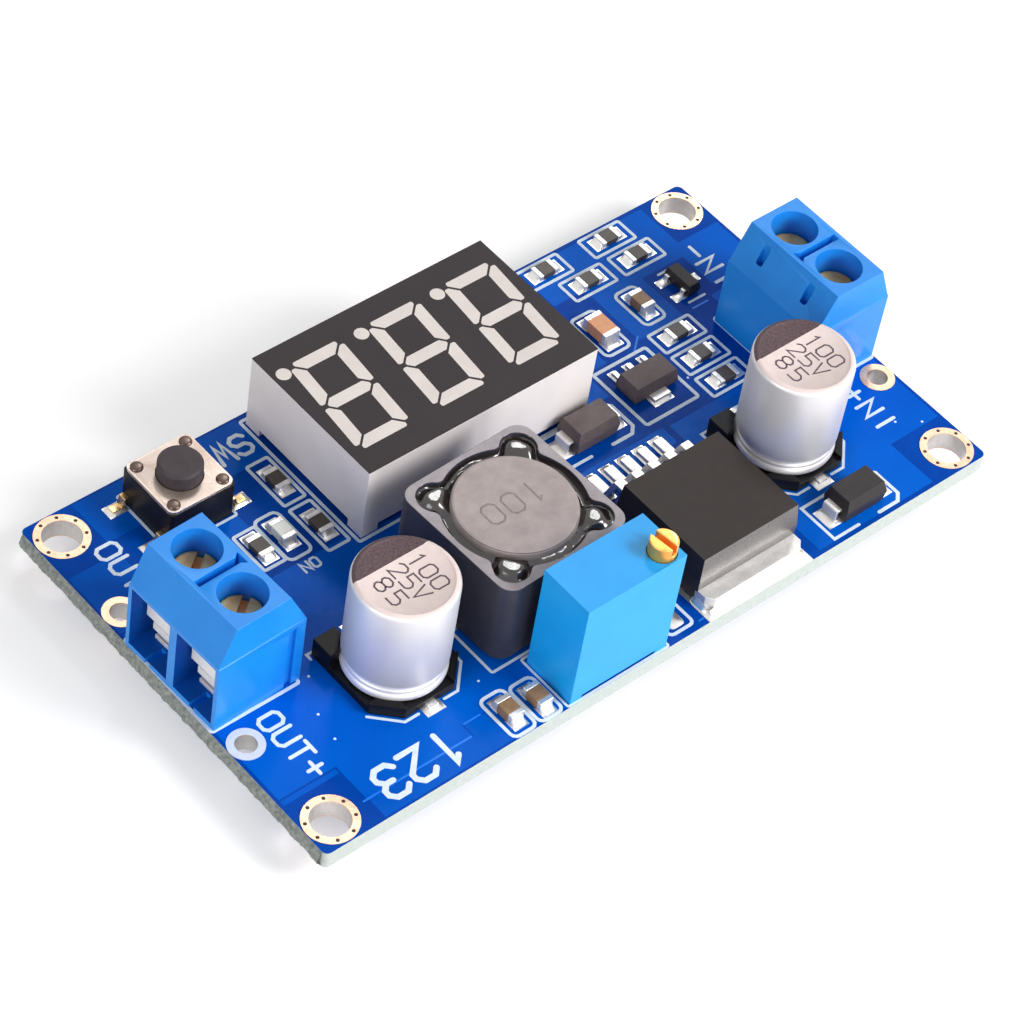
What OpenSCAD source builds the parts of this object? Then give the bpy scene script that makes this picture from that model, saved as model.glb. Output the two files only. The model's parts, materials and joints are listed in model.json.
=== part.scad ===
// Step-down voltage converter module with a three-digit readout.
// Frame: origin at the centre of the four mounting holes, on the underside of the
// board. +X runs from the output end to the input end, +Y from the trimmer edge to
// the readout edge, +Z up. Millimetres.

/* [Circuit board] */
// Length of the board along X
board_l = 66; // [65:0.5:72]
// Width of the board along Y
board_w = 36; // [36:0.5:42]
// Thickness of the board
board_t = 1.6; // [1:0.2:2]
// Rounding of the board's corners
board_corner_r = 0.5; // [0.2:0.1:1]
// Thickness of the tinned lands on the board
land_t = 0.06; // [0.04:0.01:0.1]

/* [Mounting holes] */
// Distance from the mounting holes to the board's ends
hole_edge_x = 2.2; // [2.2:0.05:2.6]
// Distance from the mounting holes to the board's long edges
hole_edge_y = 2.25; // [2.25:0.05:2.6]
// Diameter of the mounting holes
hole_d = 3.1; // [2.5:0.1:3.2]
// Width of the bare ring around a mounting hole
hole_ring_w = 0.6; // [0.4:0.05:0.65]
// Diameter of the small vias in the ring
ring_via_d = 0.3; // [0.2:0.05:0.35]
// Vias in each ring
ring_vias = 8; // [4:1:12]

/* [Wire holes] */
// Diameter of the holes for soldered wires
wire_hole_d = 1.7; // [1:0.1:1.8]
// Width of the plated ring around a wire hole
wire_ring_w = 0.58; // [0.3:0.02:0.6]
// Distance from a wire hole's centre to the board's end
wire_hole_edge = 1.45; // [1.45:0.05:1.8]
// Distance between the two wire holes at one end
wire_hole_pitch = 14.7; // [14.4:0.1:15.2]

/* [Screw terminals] */
// Distance between the two poles of a terminal
pole_pitch = 5; // [5:0.02:5.16]
// Distance along X from a terminal's wire face to the board's end
term_edge = 0.1; // [0:0.1:0.6]
// Offset of both terminals from the board's centreline
term_y = 0.2; // [-0.4:0.1:0.6]
// How far the input terminal sits in front of the output terminal
term_in_shift = 0.35; // [0:0.05:0.4]
// Angle at which the output terminal was soldered in
output_term_turn = 1.9; // [-2:0.1:2]
// Depth of the housing along X
term_depth = 8; // [8:0.1:8.6]
// Height of the housing
term_h = 10.14; // [9.9:0.02:10.6]
// Height of the shoulders, where the slopes start
term_shoulder = 6.8; // [6.5:0.1:7.2]
// How far the top's front edge lies behind the wire face
term_front_slope = 1.4; // [1:0.1:1.8]
// How far the top's back edge lies before the back face
term_back_slope = 1.7; // [1.2:0.1:2]
// Thickness of the housing's outer side walls
term_wall = 0.4; // [0.3:0.05:0.45]
// Thickness of the floor under the metal parts
term_floor = 0.5; // [0.4:0.05:0.6]
// Width of one pole's wire chamber
chamber_w = 4.2; // [4.1:0.05:4.3]
// Diameter of the screwdriver wells
well_d = 3.7; // [3.6:0.05:3.8]
// Distance from the wire face to the wells' axes
well_back = 3.9; // [3.7:0.05:4]
// Width of the groove between the poles on top
top_groove_w = 0.6; // [0.4:0.05:0.8]
// Depth of the groove between the poles on top
top_groove_depth = 1.1; // [0.6:0.1:1.4]
// Width of the interlocking groove on one side, and of the rib on the other
dovetail_w = 0.65; // [0.5:0.05:0.8]
// Depth of the interlocking groove
dovetail_depth = 0.28; // [0.15:0.01:0.3]

/* [Clamping parts] */
// Width of the tapped clamp block
clamp_w = 3.7; // [3.4:0.1:3.8]
// Thickness of the tapped clamp block
clamp_block_t = 1.3; // [1:0.05:1.35]
// Height of the block's underside above the floor
clamp_gap = 2.5; // [2.4:0.05:2.6]
// Thickness of the contact strip
contact_t = 0.4; // [0.3:0.05:0.45]
// Width of the contact strip on the floor
contact_w = 2.7; // [2.2:0.1:3.2]
// Length of the slit in the back slope, along X
slit_l = 0.8; // [0.6:0.05:0.9]
// Width of the slit in the back slope
slit_w = 0.72; // [0.4:0.02:0.9]
// Depth of the slit below the housing's top
slit_depth = 2.8; // [2.2:0.1:3.2]
// How far the clamp block lies behind the wire face
clamp_back = 1.3; // [1.1:0.05:1.4]
// Thickness of the wire guard
guard_t = 0.3; // [0.2:0.05:0.35]
// Width of the wire guard
guard_w = 2.4; // [2:0.1:3]
// Stroke of the wire guard from open to closed
guard_stroke = 1.2; // [0.8:0.1:1.2]
// Thread diameter of the clamp screw
screw_d = 2.5; // [2:0.1:2.6]
// Diameter of the clamp screw's head
screw_head_d = 3.56; // [3.4:0.02:3.58]
// Height of the clamp screw's head
screw_head_h = 1.4; // [1.2:0.05:1.45]
// Depth of the clamp screw's slot
screw_slot_depth = 0.75; // [0.5:0.05:0.9]
// Width of the clamp screw's slot
screw_slot_w = 0.6; // [0.4:0.05:0.7]
// Height of the heads above the board when open
screw_head_top = 7.95; // [7.3:0.05:8.2]
// Diameter of the screw's pilot in the wire guard
pilot_d = 1.3; // [1:0.1:1.6]
// Diameter of the terminals' pins
term_pin_d = 1.1; // [0.9:0.05:1.2]

/* [Readout] */
// Length of the readout along X
disp_l = 22.4; // [22.2:0.1:22.8]
// Width of the readout along Y
disp_w = 13.9; // [13.6:0.1:14.2]
// Height of the readout
disp_h = 7.25; // [6.8:0.05:8]
// Centre of the readout along X
disp_x = -1.55; // [-2:0.05:-1.2]
// Distance from the readout to the board's back edge
disp_edge = 0.95; // [0.8:0.05:1]
// Wall of the readout's case
disp_wall = 1; // [0.8:0.1:1.2]
// Height of the cut-outs between the case's feet
disp_foot_h = 0.7; // [0.5:0.05:0.9]
// Length of the case's feet
disp_foot_l = 1.6; // [1.2:0.1:2]
// Height of the substrate's underside above the board
disp_void_h = 1.5; // [1.4:0.05:1.6]
// Thickness of the substrate
substrate_t = 0.8; // [0.6:0.1:1]
// Thickness of the dark face film
film_t = 0.1; // [0.08:0.01:0.15]
// Digits on the readout
digits = 3; // [3:1:3]
// Distance between digits
digit_pitch = 7.47; // [7.3:0.01:7.6]
// Height of a digit between segment centrelines, top to bottom
digit_h = 8.65; // [8.3:0.05:8.7]
// Width of a digit between segment centrelines
digit_w = 4; // [3.8:0.05:4.1]
// Width of a segment
segment_w = 1.08; // [0.9:0.02:1.1]
// Gap between neighbouring segments
segment_gap = 0.2; // [0.16:0.02:0.3]
// Slant of the digits
digit_slant = 5.3; // [4:0.1:8]
// Diameter of a decimal point
point_d = 1.2; // [1:0.05:1.25]
// Diameter of a readout pin
disp_pin_d = 0.5; // [0.4:0.05:0.6]
// Pins in each of the two rows
disp_row_pins = 6; // [5:1:6]
// Distance between the readout's pin rows
disp_row_spacing = 10.16; // [10.1:0.02:10.2]

/* [Inductor] */
// Side of the square shield
ind_side = 12.2; // [12:0.05:12.3]
// Height of the shield above its terminals
ind_shield_h = 7.7; // [7.4:0.1:7.9]
// Rounding of the shield's corners
ind_corner_r = 1.3; // [1:0.1:1.5]
// Angle at which the inductor was soldered down
ind_turn = 1.9; // [-2:0.1:2]
// Diameter of the round opening in the shield
ind_bore_d = 11.2; // [11:0.05:11.3]
// Radius of the pockets at the opening's corners
ind_pocket_r = 1.4; // [1.2:0.05:1.5]
// Distance from the inductor's axis to a pocket's centre
ind_pocket_out = 5.85; // [5.7:0.05:6]
// Radius of the fillets between the opening and its pockets
ind_pocket_fillet = 0.7; // [0.4:0.05:0.9]
// Diameter of the drum core's flanges
drum_d = 9.5; // [9.2:0.05:9.8]
// Thickness of the drum core's flanges
drum_flange_t = 1.4; // [1.2:0.1:1.6]
// Diameter of the drum core's post
drum_post_d = 5; // [4.6:0.1:5.4]
// How far the drum core stands above the shield
drum_proud = 0.3; // [0.1:0.05:0.4]
// Depth of the adhesive's surface below the shield's top
glue_below = 0.45; // [0.3:0.05:0.6]
// Depth of the adhesive
glue_t = 1.2; // [0.8:0.1:1.4]
// Thickness of the terminal strips
ind_strip_t = 0.3; // [0.2:0.05:0.4]
// Width of the terminal strips
ind_strip_w = 2.6; // [2:0.1:5]
// Reach of a terminal strip under the shield
ind_strip_in = 3.4; // [3:0.1:3.8]
// Height of a strip's tongue
ind_strip_up = 1.3; // [1:0.1:1.6]

/* [Electrolytic capacitors] */
// Diameter of a can
can_d = 8; // [7.8:0.1:8.2]
// Height of a can's top above the board
can_top = 10.2; // [9.8:0.1:10.6]
// Side of the square base
can_base_side = 8.4; // [8.4:0.1:8.6]
// Chamfer of the base's front corners
can_base_chamfer = 1.9; // [1.5:0.1:2.1]
// Thickness of the base under the can
can_base_t = 0.7; // [0.5:0.1:0.9]
// Height of the posts that hold the can
can_post_h = 1.9; // [1.5:0.1:2.2]
// Height of the front corner posts, where the base is cut
can_low_post_h = 1.1; // [0.9:0.1:1.5]
// Height of the rolled ring at the can's foot
can_ring_h = 1; // [0.8:0.1:1.2]
// Depth of the groove above the rolled ring
can_groove = 0.35; // [0.2:0.05:0.5]
// Rounding of the can's top edge
can_edge_r = 0.45; // [0.3:0.05:0.6]
// Distance from the output capacitor's centre to the board's front edge
out_can_front = 10.3; // [10:0.1:11]
// Distance from the input capacitor's centre to the board's front edge
in_can_front = 9.9; // [9.6:0.1:10.4]
// Width of a capacitor's lead
can_lead_w = 0.9; // [0.7:0.1:1.1]
// How far a lead reaches past the base
can_lead_out = 0.5; // [0.3:0.05:0.6]

/* [Switching regulator] */
// Width of the regulator's body
reg_w = 10; // [9.8:0.1:10.1]
// Depth of the regulator's body
reg_d = 9.35; // [9:0.05:9.4]
// Height of the regulator's body
reg_h = 4.5; // [4.3:0.1:4.7]
// Draft of the body's sides at its top
reg_draft = 0.2; // [0.15:0.05:0.4]
// Distance from the tab's front edge to the board's edge
reg_edge = 0.68; // [0.6:0.02:0.8]
// Length of the tab in front of the body
reg_tab_out = 1.35; // [1.2:0.05:1.5]
// Thickness of the tab
reg_tab_t = 1.27; // [1.2:0.01:1.4]
// Corner cut of the tab
reg_tab_cut = 0.6; // [0.3:0.1:1]
// Number of leads
reg_leads = 5; // [5:1:5]
// Distance between leads
reg_pitch = 1.7; // [1.6:0.05:1.75]
// Width of a lead
reg_lead_w = 0.9; // [0.7:0.05:1]
// Thickness of a lead
reg_lead_t = 0.45; // [0.35:0.05:0.5]
// Reach of the leads behind the body
reg_lead_reach = 4.3; // [4:0.1:4.5]

/* [Multi-turn trimmer] */
// Length of the trimmer along X
trim_l = 9.4; // [9.4:0.05:9.55]
// Depth of the trimmer along Y
trim_w = 4.8; // [4.7:0.05:4.9]
// Height of the trimmer's top above the board
trim_h = 10.4; // [10:0.1:10.6]
// Height of the trimmer's feet
trim_foot_h = 0.35; // [0.3:0.05:0.4]
// Distance from the trimmer's front to the board's edge
trim_edge = 0.2; // [0.15:0.05:0.3]
// Distance along X from the trimmer's right end to the inductor's right side
trim_right = 0.45; // [0.3:0.05:2]
// Diameter of the adjusting screw
trim_screw_d = 2.2; // [2:0.05:2.2]
// Distance from the screw's axis to the trimmer's end and front
trim_screw_in = 1.3; // [1.3:0.05:1.6]
// How far the screw stands above the trimmer
trim_screw_out = 1.3; // [1:0.1:1.6]
// Depth of the counterbore that the screw's head turns in
trim_screw_seat = 1.6; // [1.2:0.1:2]
// Diameter of the screw's threaded shaft
trim_shaft_d = 1.4; // [1.2:0.1:1.6]
// Length of the screw's threaded shaft
trim_shaft_l = 5; // [4:0.5:6]
// Angle of the screw's slot
trim_slot_angle = -83; // [-90:1:90]
// Diameter of the trimmer's pins
trim_pin_d = 0.5; // [0.4:0.05:0.6]

/* [Push button] */
// Side of the square switch
key_side = 6; // [5.9:0.05:6.2]
// Height of the switch without its plunger
key_h = 3.6; // [3.4:0.1:3.8]
// Height of the plunger's top above the board
key_top = 5; // [4.8:0.1:7]
// Distance from the switch's back to the board's edge
key_edge = 1.6; // [1.2:0.05:1.7]
// Diameter of the plunger
key_plunger_d = 3.5; // [3.2:0.1:3.6]
// Width of the plunger's retaining flange, past the plunger
key_flange = 0.35; // [0.3:0.05:0.4]
// Travel of the plunger
key_travel = 0.25; // [0.15:0.05:0.3]
// Thickness of the metal cover
key_cover_t = 0.3; // [0.2:0.05:0.35]
// Distance from the switch's axis to a rivet, along X and Y
key_rivet = 2.25; // [2.2:0.01:2.3]
// Diameter of a rivet
key_rivet_d = 0.8; // [0.6:0.05:0.9]
// Width of a switch terminal
key_lead_w = 0.7; // [0.6:0.05:0.8]
// Reach of a switch terminal past the body
key_lead_reach = 1.5; // [1.2:0.1:1.7]
// Distance between the terminals on one side
key_lead_pitch = 4.5; // [4.4:0.05:4.6]

/* [Small packages] */
// Length, width and height of a surface-mount diode's body
diode_size = [4.3, 2.6, 2.2];
// Width of a diode's terminal
diode_lead_w = 1.45; // [1.3:0.05:1.6]
// Distance from the input diode to the board's front edge
input_diode_front = 2.4; // [2:0.1:2.8]
// Gap between the catch diode and the readout
catch_diode_gap = 0.55; // [0.4:0.05:0.8]
// Width, depth and height of the linear regulator's body
ldo_size = [4.5, 2.5, 1.5];
// Distance from the linear regulator's centre to the terminals' centreline
ldo_y = 2.5; // [2:0.1:3]
// Distance between the linear regulator's leads
ldo_pitch = 1.5; // [1.4:0.05:1.6]
// Width, depth and height of the small transistor's body
sot_size = [1.3, 2.9, 1.05];
// Distance from the small transistor's centre to the board's back edge
sot_back = 8.7; // [8.5:0.1:9.5]
// Distance between the two outer leads of the small transistor
sot_pitch = 1.9; // [1.8:0.05:2]
// Width, depth and height of the controller's body
mcu_size = [6.5, 4.4, 0.95];
// Leads on each side of the controller
mcu_side_leads = 10; // [8:1:10]
// Distance between the controller's leads
mcu_pitch = 0.65; // [0.6:0.01:0.65]

/* [Chip parts] */
// Length, width and height of a chip resistor
resistor_size = [2, 1.25, 0.5];
// Length, width and height of a ceramic capacitor
ceramic_size = [2, 1.25, 0.9];
// Length, width and height of the filter capacitor
filter_size = [2.6, 1.6, 1.1];
// Length, width and height of the indicator
indicator_size = [2, 1.25, 0.8];
// Distance between neighbouring chip parts in a group
chip_row = 2.8; // [2.7:0.1:3]
// Length of a chip part's metal end
chip_end = 0.42; // [0.3:0.02:0.5]
// How far a land reaches past a chip part
chip_land_out = 0.6; // [0.3:0.05:0.65]

/* [Layout] */
// Shares of the free length before the output can, inductor, regulator, input can and end
row_shares = [0.217, 0.125, 0.375, 0.2215, 0.0615];
// Share of the free width between the trimmer and the readout in front of the inductor
ind_share = 0.18; // [0.15:0.01:0.6]
// Distance from the readout's end to the column of chip parts beside it
side_chips = 1.75; // [1.6:0.05:2]

/* [Pins and solder] */
// Length of the pins below the board
pin_below = 1.9; // [1.6:0.1:2.2]
// Height of the solder cones below the board
cone_h = 1.2; // [0.8:0.1:1.4]
// Radial width of a solder cone at the board
cone_w = 0.5; // [0.4:0.05:0.55]
// Clearance of a pin in its hole
pin_clearance = 0.15; // [0.1:0.05:0.2]

/* [Hidden] */
$fn = 64;

// Small overlap that a cut needs to pass right through a face
cut = 0.5;
// Radial play of a turning or sliding fit
fit = 0.06;
// Distance kept between parts that never touch
clear = 0.3;
pin_row = 2.54;
board_top = board_t;
seat = board_top + land_t;
pin_tip = -pin_below;

// Places on the board
hole_spacing_x = board_l - 2 * hole_edge_x;
hole_spacing_y = board_w - 2 * hole_edge_y;
wire_hole_x = board_l / 2 - wire_hole_edge;
term_w = pole_pitch + chamber_w + 2 * term_wall;
term_x = board_l / 2 - term_edge - term_depth / 2;
disp_y = board_w / 2 - disp_edge - disp_w / 2;
trim_y = -board_w / 2 + trim_edge + trim_w / 2;
key_y = board_w / 2 - key_edge - key_side / 2;
reg_front = -board_w / 2 + reg_edge + reg_tab_out;
reg_y = reg_front + reg_d / 2;
front_row = -board_w / 2;
back_row = board_w / 2;
disp_left = disp_x - disp_l / 2;
disp_front = disp_y - disp_w / 2;

// The row of large parts between the two terminals shares out the free length
ind_room = ind_side * (cos(ind_turn) + sin(abs(ind_turn))) + 0.7;
row_start = term_depth / 2 - term_x;
row_free = -2 * row_start - 2 * can_base_side - ind_room - reg_w;
out_can_x = row_start + row_free * row_shares[0] + can_base_side / 2;
ind_x = out_can_x + can_base_side / 2 + row_free * row_shares[1] + ind_room / 2;
reg_x = ind_x + ind_room / 2 + row_free * row_shares[2] + reg_w / 2;
in_can_x = reg_x + reg_w / 2 + row_free * row_shares[3] + can_base_side / 2;
out_can_y = front_row + out_can_front;
in_can_y = front_row + in_can_front;
trim_x = ind_x + ind_side / 2 - trim_right - trim_l / 2;
ind_free = disp_front - trim_y - trim_w / 2 - ind_room;
ind_y = trim_y + trim_w / 2 + ind_share * ind_free + ind_room / 2;

// Small parts follow the large part or the mounting hole that they stand beside
chip_x = disp_left - side_chips;
ring_in = hole_spacing_x / 2 - hole_d / 2 - hole_ring_w;
key_x = (chip_x - resistor_size[1] / 2 - ring_in) / 2 - 0.15;
term_back = -row_start;
input_diode_at = [in_can_x + 0.5, front_row + input_diode_front];
catch_diode_at = [reg_x - 0.6, disp_front - catch_diode_gap - diode_size[1] / 2];
ldo_at = [
    (catch_diode_at[0] + diode_size[0] / 2 + term_back - 3.5 - resistor_size[0] / 2) / 2 + 0.25,
    term_y + ldo_y
];
sot_at = [ring_in - 3.25, back_row - sot_back];
indicator_at = [chip_x - 2.9, disp_front + 3.6];

// Clamping parts, measured from a terminal's centre and the board's top
face_x = -term_depth / 2;
well_x = face_x + well_back;
contact_top = term_floor + contact_t;
clamp_z = term_floor + clamp_gap;
clamp_top = clamp_z + clamp_block_t;
clamp_x = face_x + clamp_back;
clamp_end = term_depth / 2 - 1.8;
chamber_top = clamp_top + 0.15;
chamber_end = clamp_end + 0.15;
guard_z = clamp_z - clear - guard_t;
guard_lip = 0.4;
screw_head_z = screw_head_top - screw_head_h;

// Readout, measured from the board's top
substrate_z = disp_void_h + substrate_t;
disp_case_h = disp_h - film_t;
disp_pin_span = (disp_row_pins - 1) * pin_row;
segment_mitre = segment_w / 2 + segment_gap / sqrt(2);
segment_corner = segment_w / 9;

// Inductor, measured from the lands
ind_top = ind_strip_t + ind_shield_h;
drum_top = ind_top + drum_proud;

// Trimmer, measured from its own centre
trim_screw_x = trim_l / 2 - trim_screw_in;
trim_screw_y = -trim_w / 2 + trim_screw_in;

// Chip parts: centre along X, centre along Y, angle
resistors = [
    [chip_x, disp_front + 7.95, 90], [chip_x, disp_front + 2.75, 90],
    [indicator_at[0] - 2.2, indicator_at[1] - 0.15, 90],
    for (i = [-1:1]) [term_back - 3.5, ldo_at[1] - 0.1 + i * chip_row, 0],
    [ring_in - 11.65, back_row - 1.5, 0], [ring_in - 4.9, back_row - 1.5, 0],
    [ring_in - 9.4, back_row - 1.5 - chip_row, 0],
    [ring_in - 4.15, back_row - 1.5 - chip_row, 0]
];
ceramics = [
    [trim_x - trim_l / 2 - 4.2, front_row + 2.2, 90],
    [trim_x - trim_l / 2 - 1.7, front_row + 1.9, 90],
    [ring_in - 7.65, back_row - sot_back + 0.1, 90]
];
filter_at = [ring_in - 12.35, back_row - sot_back - 0.4];

// Outlines ------------------------------------------------------------------

function arc(at, r, from, to, steps = 6) = [
    for (i = [0:steps])
        let (a = from + (to - from) * i / steps)
        [at[0] + r * cos(a), at[1] + r * sin(a)]
];

function round_rect(w, l, r) = concat(
    arc([w / 2 - r, l / 2 - r], r, 0, 90),
    arc([r - w / 2, l / 2 - r], r, 90, 180),
    arc([r - w / 2, r - l / 2], r, 180, 270),
    arc([w / 2 - r, r - l / 2], r, 270, 360)
);

// A moulded body's section: widest at the parting line, drafted above and below
function moulded(w, h, parting, draft) = [
    [-w / 2 + draft / 2, 0], [-w / 2, parting], [-w / 2 + draft, h],
    [w / 2 - draft, h], [w / 2, parting], [w / 2 - draft / 2, 0]
];

// Extrudes a YZ outline along X, centred
module along_x(length)
    rotate([90, 0, 90]) translate([0, 0, -length / 2]) linear_extrude(length) children();

// Extrudes an XZ outline along Y, centred
module along_y(length)
    rotate([90, 0, 0]) translate([0, 0, -length / 2]) linear_extrude(length) children();

module slab(w, l, h, r)
    linear_extrude(h) polygon(round_rect(w, l, r));

module block(w, l, h)
    translate([-w / 2, -l / 2, 0]) cube([w, l, h]);

// A moulded body with draft on all four sides
module moulded_body(size, parting, draft)
    intersection() {
        along_y(size[1]) polygon(moulded(size[0], size[2], parting, draft));
        along_x(size[0]) polygon(moulded(size[1], size[2], parting, draft));
    }

// A lead that leaves a body at a height, bends down and ends in a flat foot along +Y
module bent_lead(w, t, exit_z, shoulder, knee, reach)
    along_x(w) polygon([
        [0, exit_z - t / 2], [shoulder - t / 2, exit_z - t / 2], [knee - t / 2, 0],
        [reach, 0], [reach, t], [knee + t / 3, t], [shoulder + t / 3, exit_z + t / 2],
        [0, exit_z + t / 2]
    ]);

// Places -------------------------------------------------------------------

module at_output_terminal()
    translate([-term_x, term_y, board_top]) rotate(output_term_turn) children();

module at_input_terminal()
    translate([term_x, term_y - term_in_shift, board_top]) mirror([1, 0, 0]) children();

module at_poles()
    for (s = [-1, 1]) translate([0, s * pole_pitch / 2, 0]) children();

module at_pole(s)
    translate([0, s * pole_pitch / 2, 0]) children();

module at_readout()
    translate([disp_x, disp_y, board_top]) children();

module at_readout_pins()
    for (row = [-1, 1], i = [0:disp_row_pins - 1])
        translate([i * pin_row - disp_pin_span / 2, row * disp_row_spacing / 2, 0])
            children();

module at_inductor()
    translate([ind_x, ind_y, seat]) rotate(ind_turn) children();

module at_output_can()
    translate([out_can_x, out_can_y, seat]) children();

module at_input_can()
    translate([in_can_x, in_can_y, seat]) children();

module at_regulator()
    translate([reg_x, reg_y, seat]) children();

module at_regulator_leads()
    for (i = [0:reg_leads - 1])
        translate([(i - (reg_leads - 1) / 2) * reg_pitch, reg_d / 2, 0]) children();

module at_trimmer()
    translate([trim_x, trim_y, board_top]) children();

module at_trimmer_pins()
    for (i = [-1:1]) translate([i * pin_row, 0, 0]) children();

module at_button()
    translate([key_x, key_y, seat]) children();

module at_button_terminals()
    for (side = [-1, 1], row = [-1, 1])
        translate([side * key_side / 2, row * key_lead_pitch / 2, 0])
            rotate(-side * 90) children();

module at_rivets()
    for (x = [-1, 1], y = [-1, 1]) translate([x * key_rivet, y * key_rivet, 0]) children();

module at_chips(list)
    for (p = list) translate([p[0], p[1], seat]) rotate(p[2]) children();

// Both ends of a part along X; children point outwards
module at_ends(length)
    for (a = [0, 180]) rotate(a) translate([length / 2, 0, 0]) children();

// Board --------------------------------------------------------------------

module at_mounting_holes()
    for (x = [-1, 1], y = [-1, 1])
        translate([x * hole_spacing_x / 2, y * hole_spacing_y / 2, 0]) children();

module at_wire_holes()
    for (x = [-1, 1], y = [-1, 1])
        translate([x * wire_hole_x, term_y + y * wire_hole_pitch / 2, 0]) children();

module drill(d)
    translate([0, 0, -cut]) cylinder(d = d, h = board_t + 2 * cut);

module board_holes() {
    at_mounting_holes() drill(hole_d);
    at_wire_holes() drill(wire_hole_d);
    translate([0, 0, -board_top]) {
        at_output_terminal() at_poles() drill(term_pin_d + 2 * pin_clearance);
        at_input_terminal() at_poles() drill(term_pin_d + 2 * pin_clearance);
        at_readout() at_readout_pins() drill(disp_pin_d + 2 * pin_clearance);
        at_trimmer() at_trimmer_pins() drill(trim_pin_d + 2 * pin_clearance);
    }
}

module circuit_board()
    color([0.02, 0.36, 0.8])
    difference() {
        slab(board_l, board_w, board_t, board_corner_r);
        board_holes();
    }

// A flat plated ring on each face of the board
module plated_ring(d, w)
    for (z = [board_top, -land_t])
        translate([0, 0, z]) difference() {
            cylinder(d = d + 2 * w, h = land_t);
            translate([0, 0, -cut]) cylinder(d = d, h = land_t + 2 * cut);
        }

module mounting_rings()
    color([0.93, 0.76, 0.66])
    at_mounting_holes() difference() {
        plated_ring(hole_d, hole_ring_w);
        for (i = [0:ring_vias - 1])
            rotate(i * 360 / ring_vias + 22) translate([hole_d / 2 + hole_ring_w / 2, 0, -cut])
                cylinder(d = ring_via_d, h = board_t + 2 * cut);
    }

module wire_rings()
    color([0.92, 0.9, 0.9])
    at_wire_holes() plated_ring(wire_hole_d, wire_ring_w);

// A land under a lead's foot: its centre lies at the origin
module land(w, l)
    translate([0, 0, -land_t]) block(w, l, land_t);

module chip_lands(size) {
    l = chip_end + 0.15 + chip_land_out;
    at_ends(size[0] + 2 * chip_land_out) translate([-l / 2, 0, 0]) land(l, size[1] + 0.1);
}

module solder_lands()
    color([0.85, 0.85, 0.86]) {
        at_output_can() can_lands();
        at_input_can() can_lands();
        at_regulator() {
            at_regulator_leads()
                translate([0, reg_lead_reach - 1, 0]) land(reg_lead_w + 0.25, 2.9);
            tab_land_l = reg_d - 1 + reg_tab_out + reg_edge;
            translate([0, -reg_d / 2 - reg_tab_out - reg_edge + tab_land_l / 2, 0])
                land(reg_w + 0.7, tab_land_l);
        }
        at_inductor() at_ends(ind_side)
            translate([-1, 0, 0]) land(3, ind_strip_w + 0.8);
        at_button() at_button_terminals()
            translate([0, key_lead_reach - 0.5, 0]) land(key_lead_w + 0.5, 1.7);
        for (p = [input_diode_at, catch_diode_at])
            translate([p[0], p[1], seat]) at_ends(diode_size[0])
                translate([0.15, 0, 0]) land(2.1, diode_lead_w + 0.5);
        translate([ldo_at[0], ldo_at[1], seat]) {
            for (i = [-1:1])
                translate([i * ldo_pitch, ldo_size[1] / 2 + 0.55, 0]) land(0.7, 1.5);
            translate([0, -ldo_size[1] / 2, 0]) land(2, 2);
        }
        translate([sot_at[0], sot_at[1], seat]) {
            for (s = [-1, 1])
                translate([-sot_size[0] / 2 - 0.5, s * sot_pitch / 2, 0]) land(1.2, 0.8);
            translate([sot_size[0] / 2 + 0.5, 0, 0]) land(1.2, 0.8);
        }
        translate([disp_x, disp_y, seat]) at_controller_leads()
            translate([0, 0.65, 0]) land(0.4, 1.3);
        at_chips(resistors) chip_lands(resistor_size);
        at_chips(ceramics) chip_lands(ceramic_size);
        at_chips([[filter_at[0], filter_at[1], 90]]) chip_lands(filter_size);
        at_chips([[indicator_at[0], indicator_at[1], 90]]) chip_lands(indicator_size);
    }

// The solder around a pin on the underside
module solder_cone(pin_d)
    rotate_extrude() polygon([
        [pin_d / 2, -board_top], [pin_d / 2 + pin_clearance + cone_w, -board_top],
        [pin_d / 2 + 0.55 * cone_w, -board_top - 0.25 * cone_h],
        [pin_d / 2 + 0.2 * cone_w, -board_top - 0.6 * cone_h],
        [pin_d / 2, -board_top - cone_h]
    ]);

module solder_cones()
    color([0.78, 0.78, 0.8]) {
        at_output_terminal() at_poles() solder_cone(term_pin_d);
        at_input_terminal() at_poles() solder_cone(term_pin_d);
        at_readout() at_readout_pins() solder_cone(disp_pin_d);
        at_trimmer() at_trimmer_pins() solder_cone(trim_pin_d);
    }

// Screw terminals ----------------------------------------------------------

// A terminal's outline seen along Y, wire face at low X
function term_outline() = [
    [face_x, 0], [face_x, term_shoulder], [face_x + term_front_slope, term_h],
    [-face_x - term_back_slope, term_h], [-face_x, term_shoulder], [-face_x, 0]
];

// The chamber of one pole: a deep lower part and a shallow pocket at the wire face
module wire_chamber()
    along_y(chamber_w) polygon([
        [face_x - cut, term_floor], [face_x - cut, term_shoulder - 0.35],
        [face_x + 0.3, term_shoulder - 0.35],
        [clamp_x - 0.1, term_shoulder + 0.5], [clamp_x - 0.1, chamber_top],
        [chamber_end, chamber_top], [chamber_end, term_floor]
    ]);

// The groove between the poles, ending in a small dovetail
module top_groove()
    translate([0, 0, term_h - top_groove_depth]) linear_extrude(top_groove_depth + cut) {
        front = face_x + term_front_slope + 0.4;
        back = -face_x - term_back_slope - 0.35;
        translate([front, -top_groove_w / 2]) square([back - front, top_groove_w]);
        polygon([
            [back - 0.75, 0], [back, -top_groove_w], [back, top_groove_w]
        ]);
    }

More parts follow.
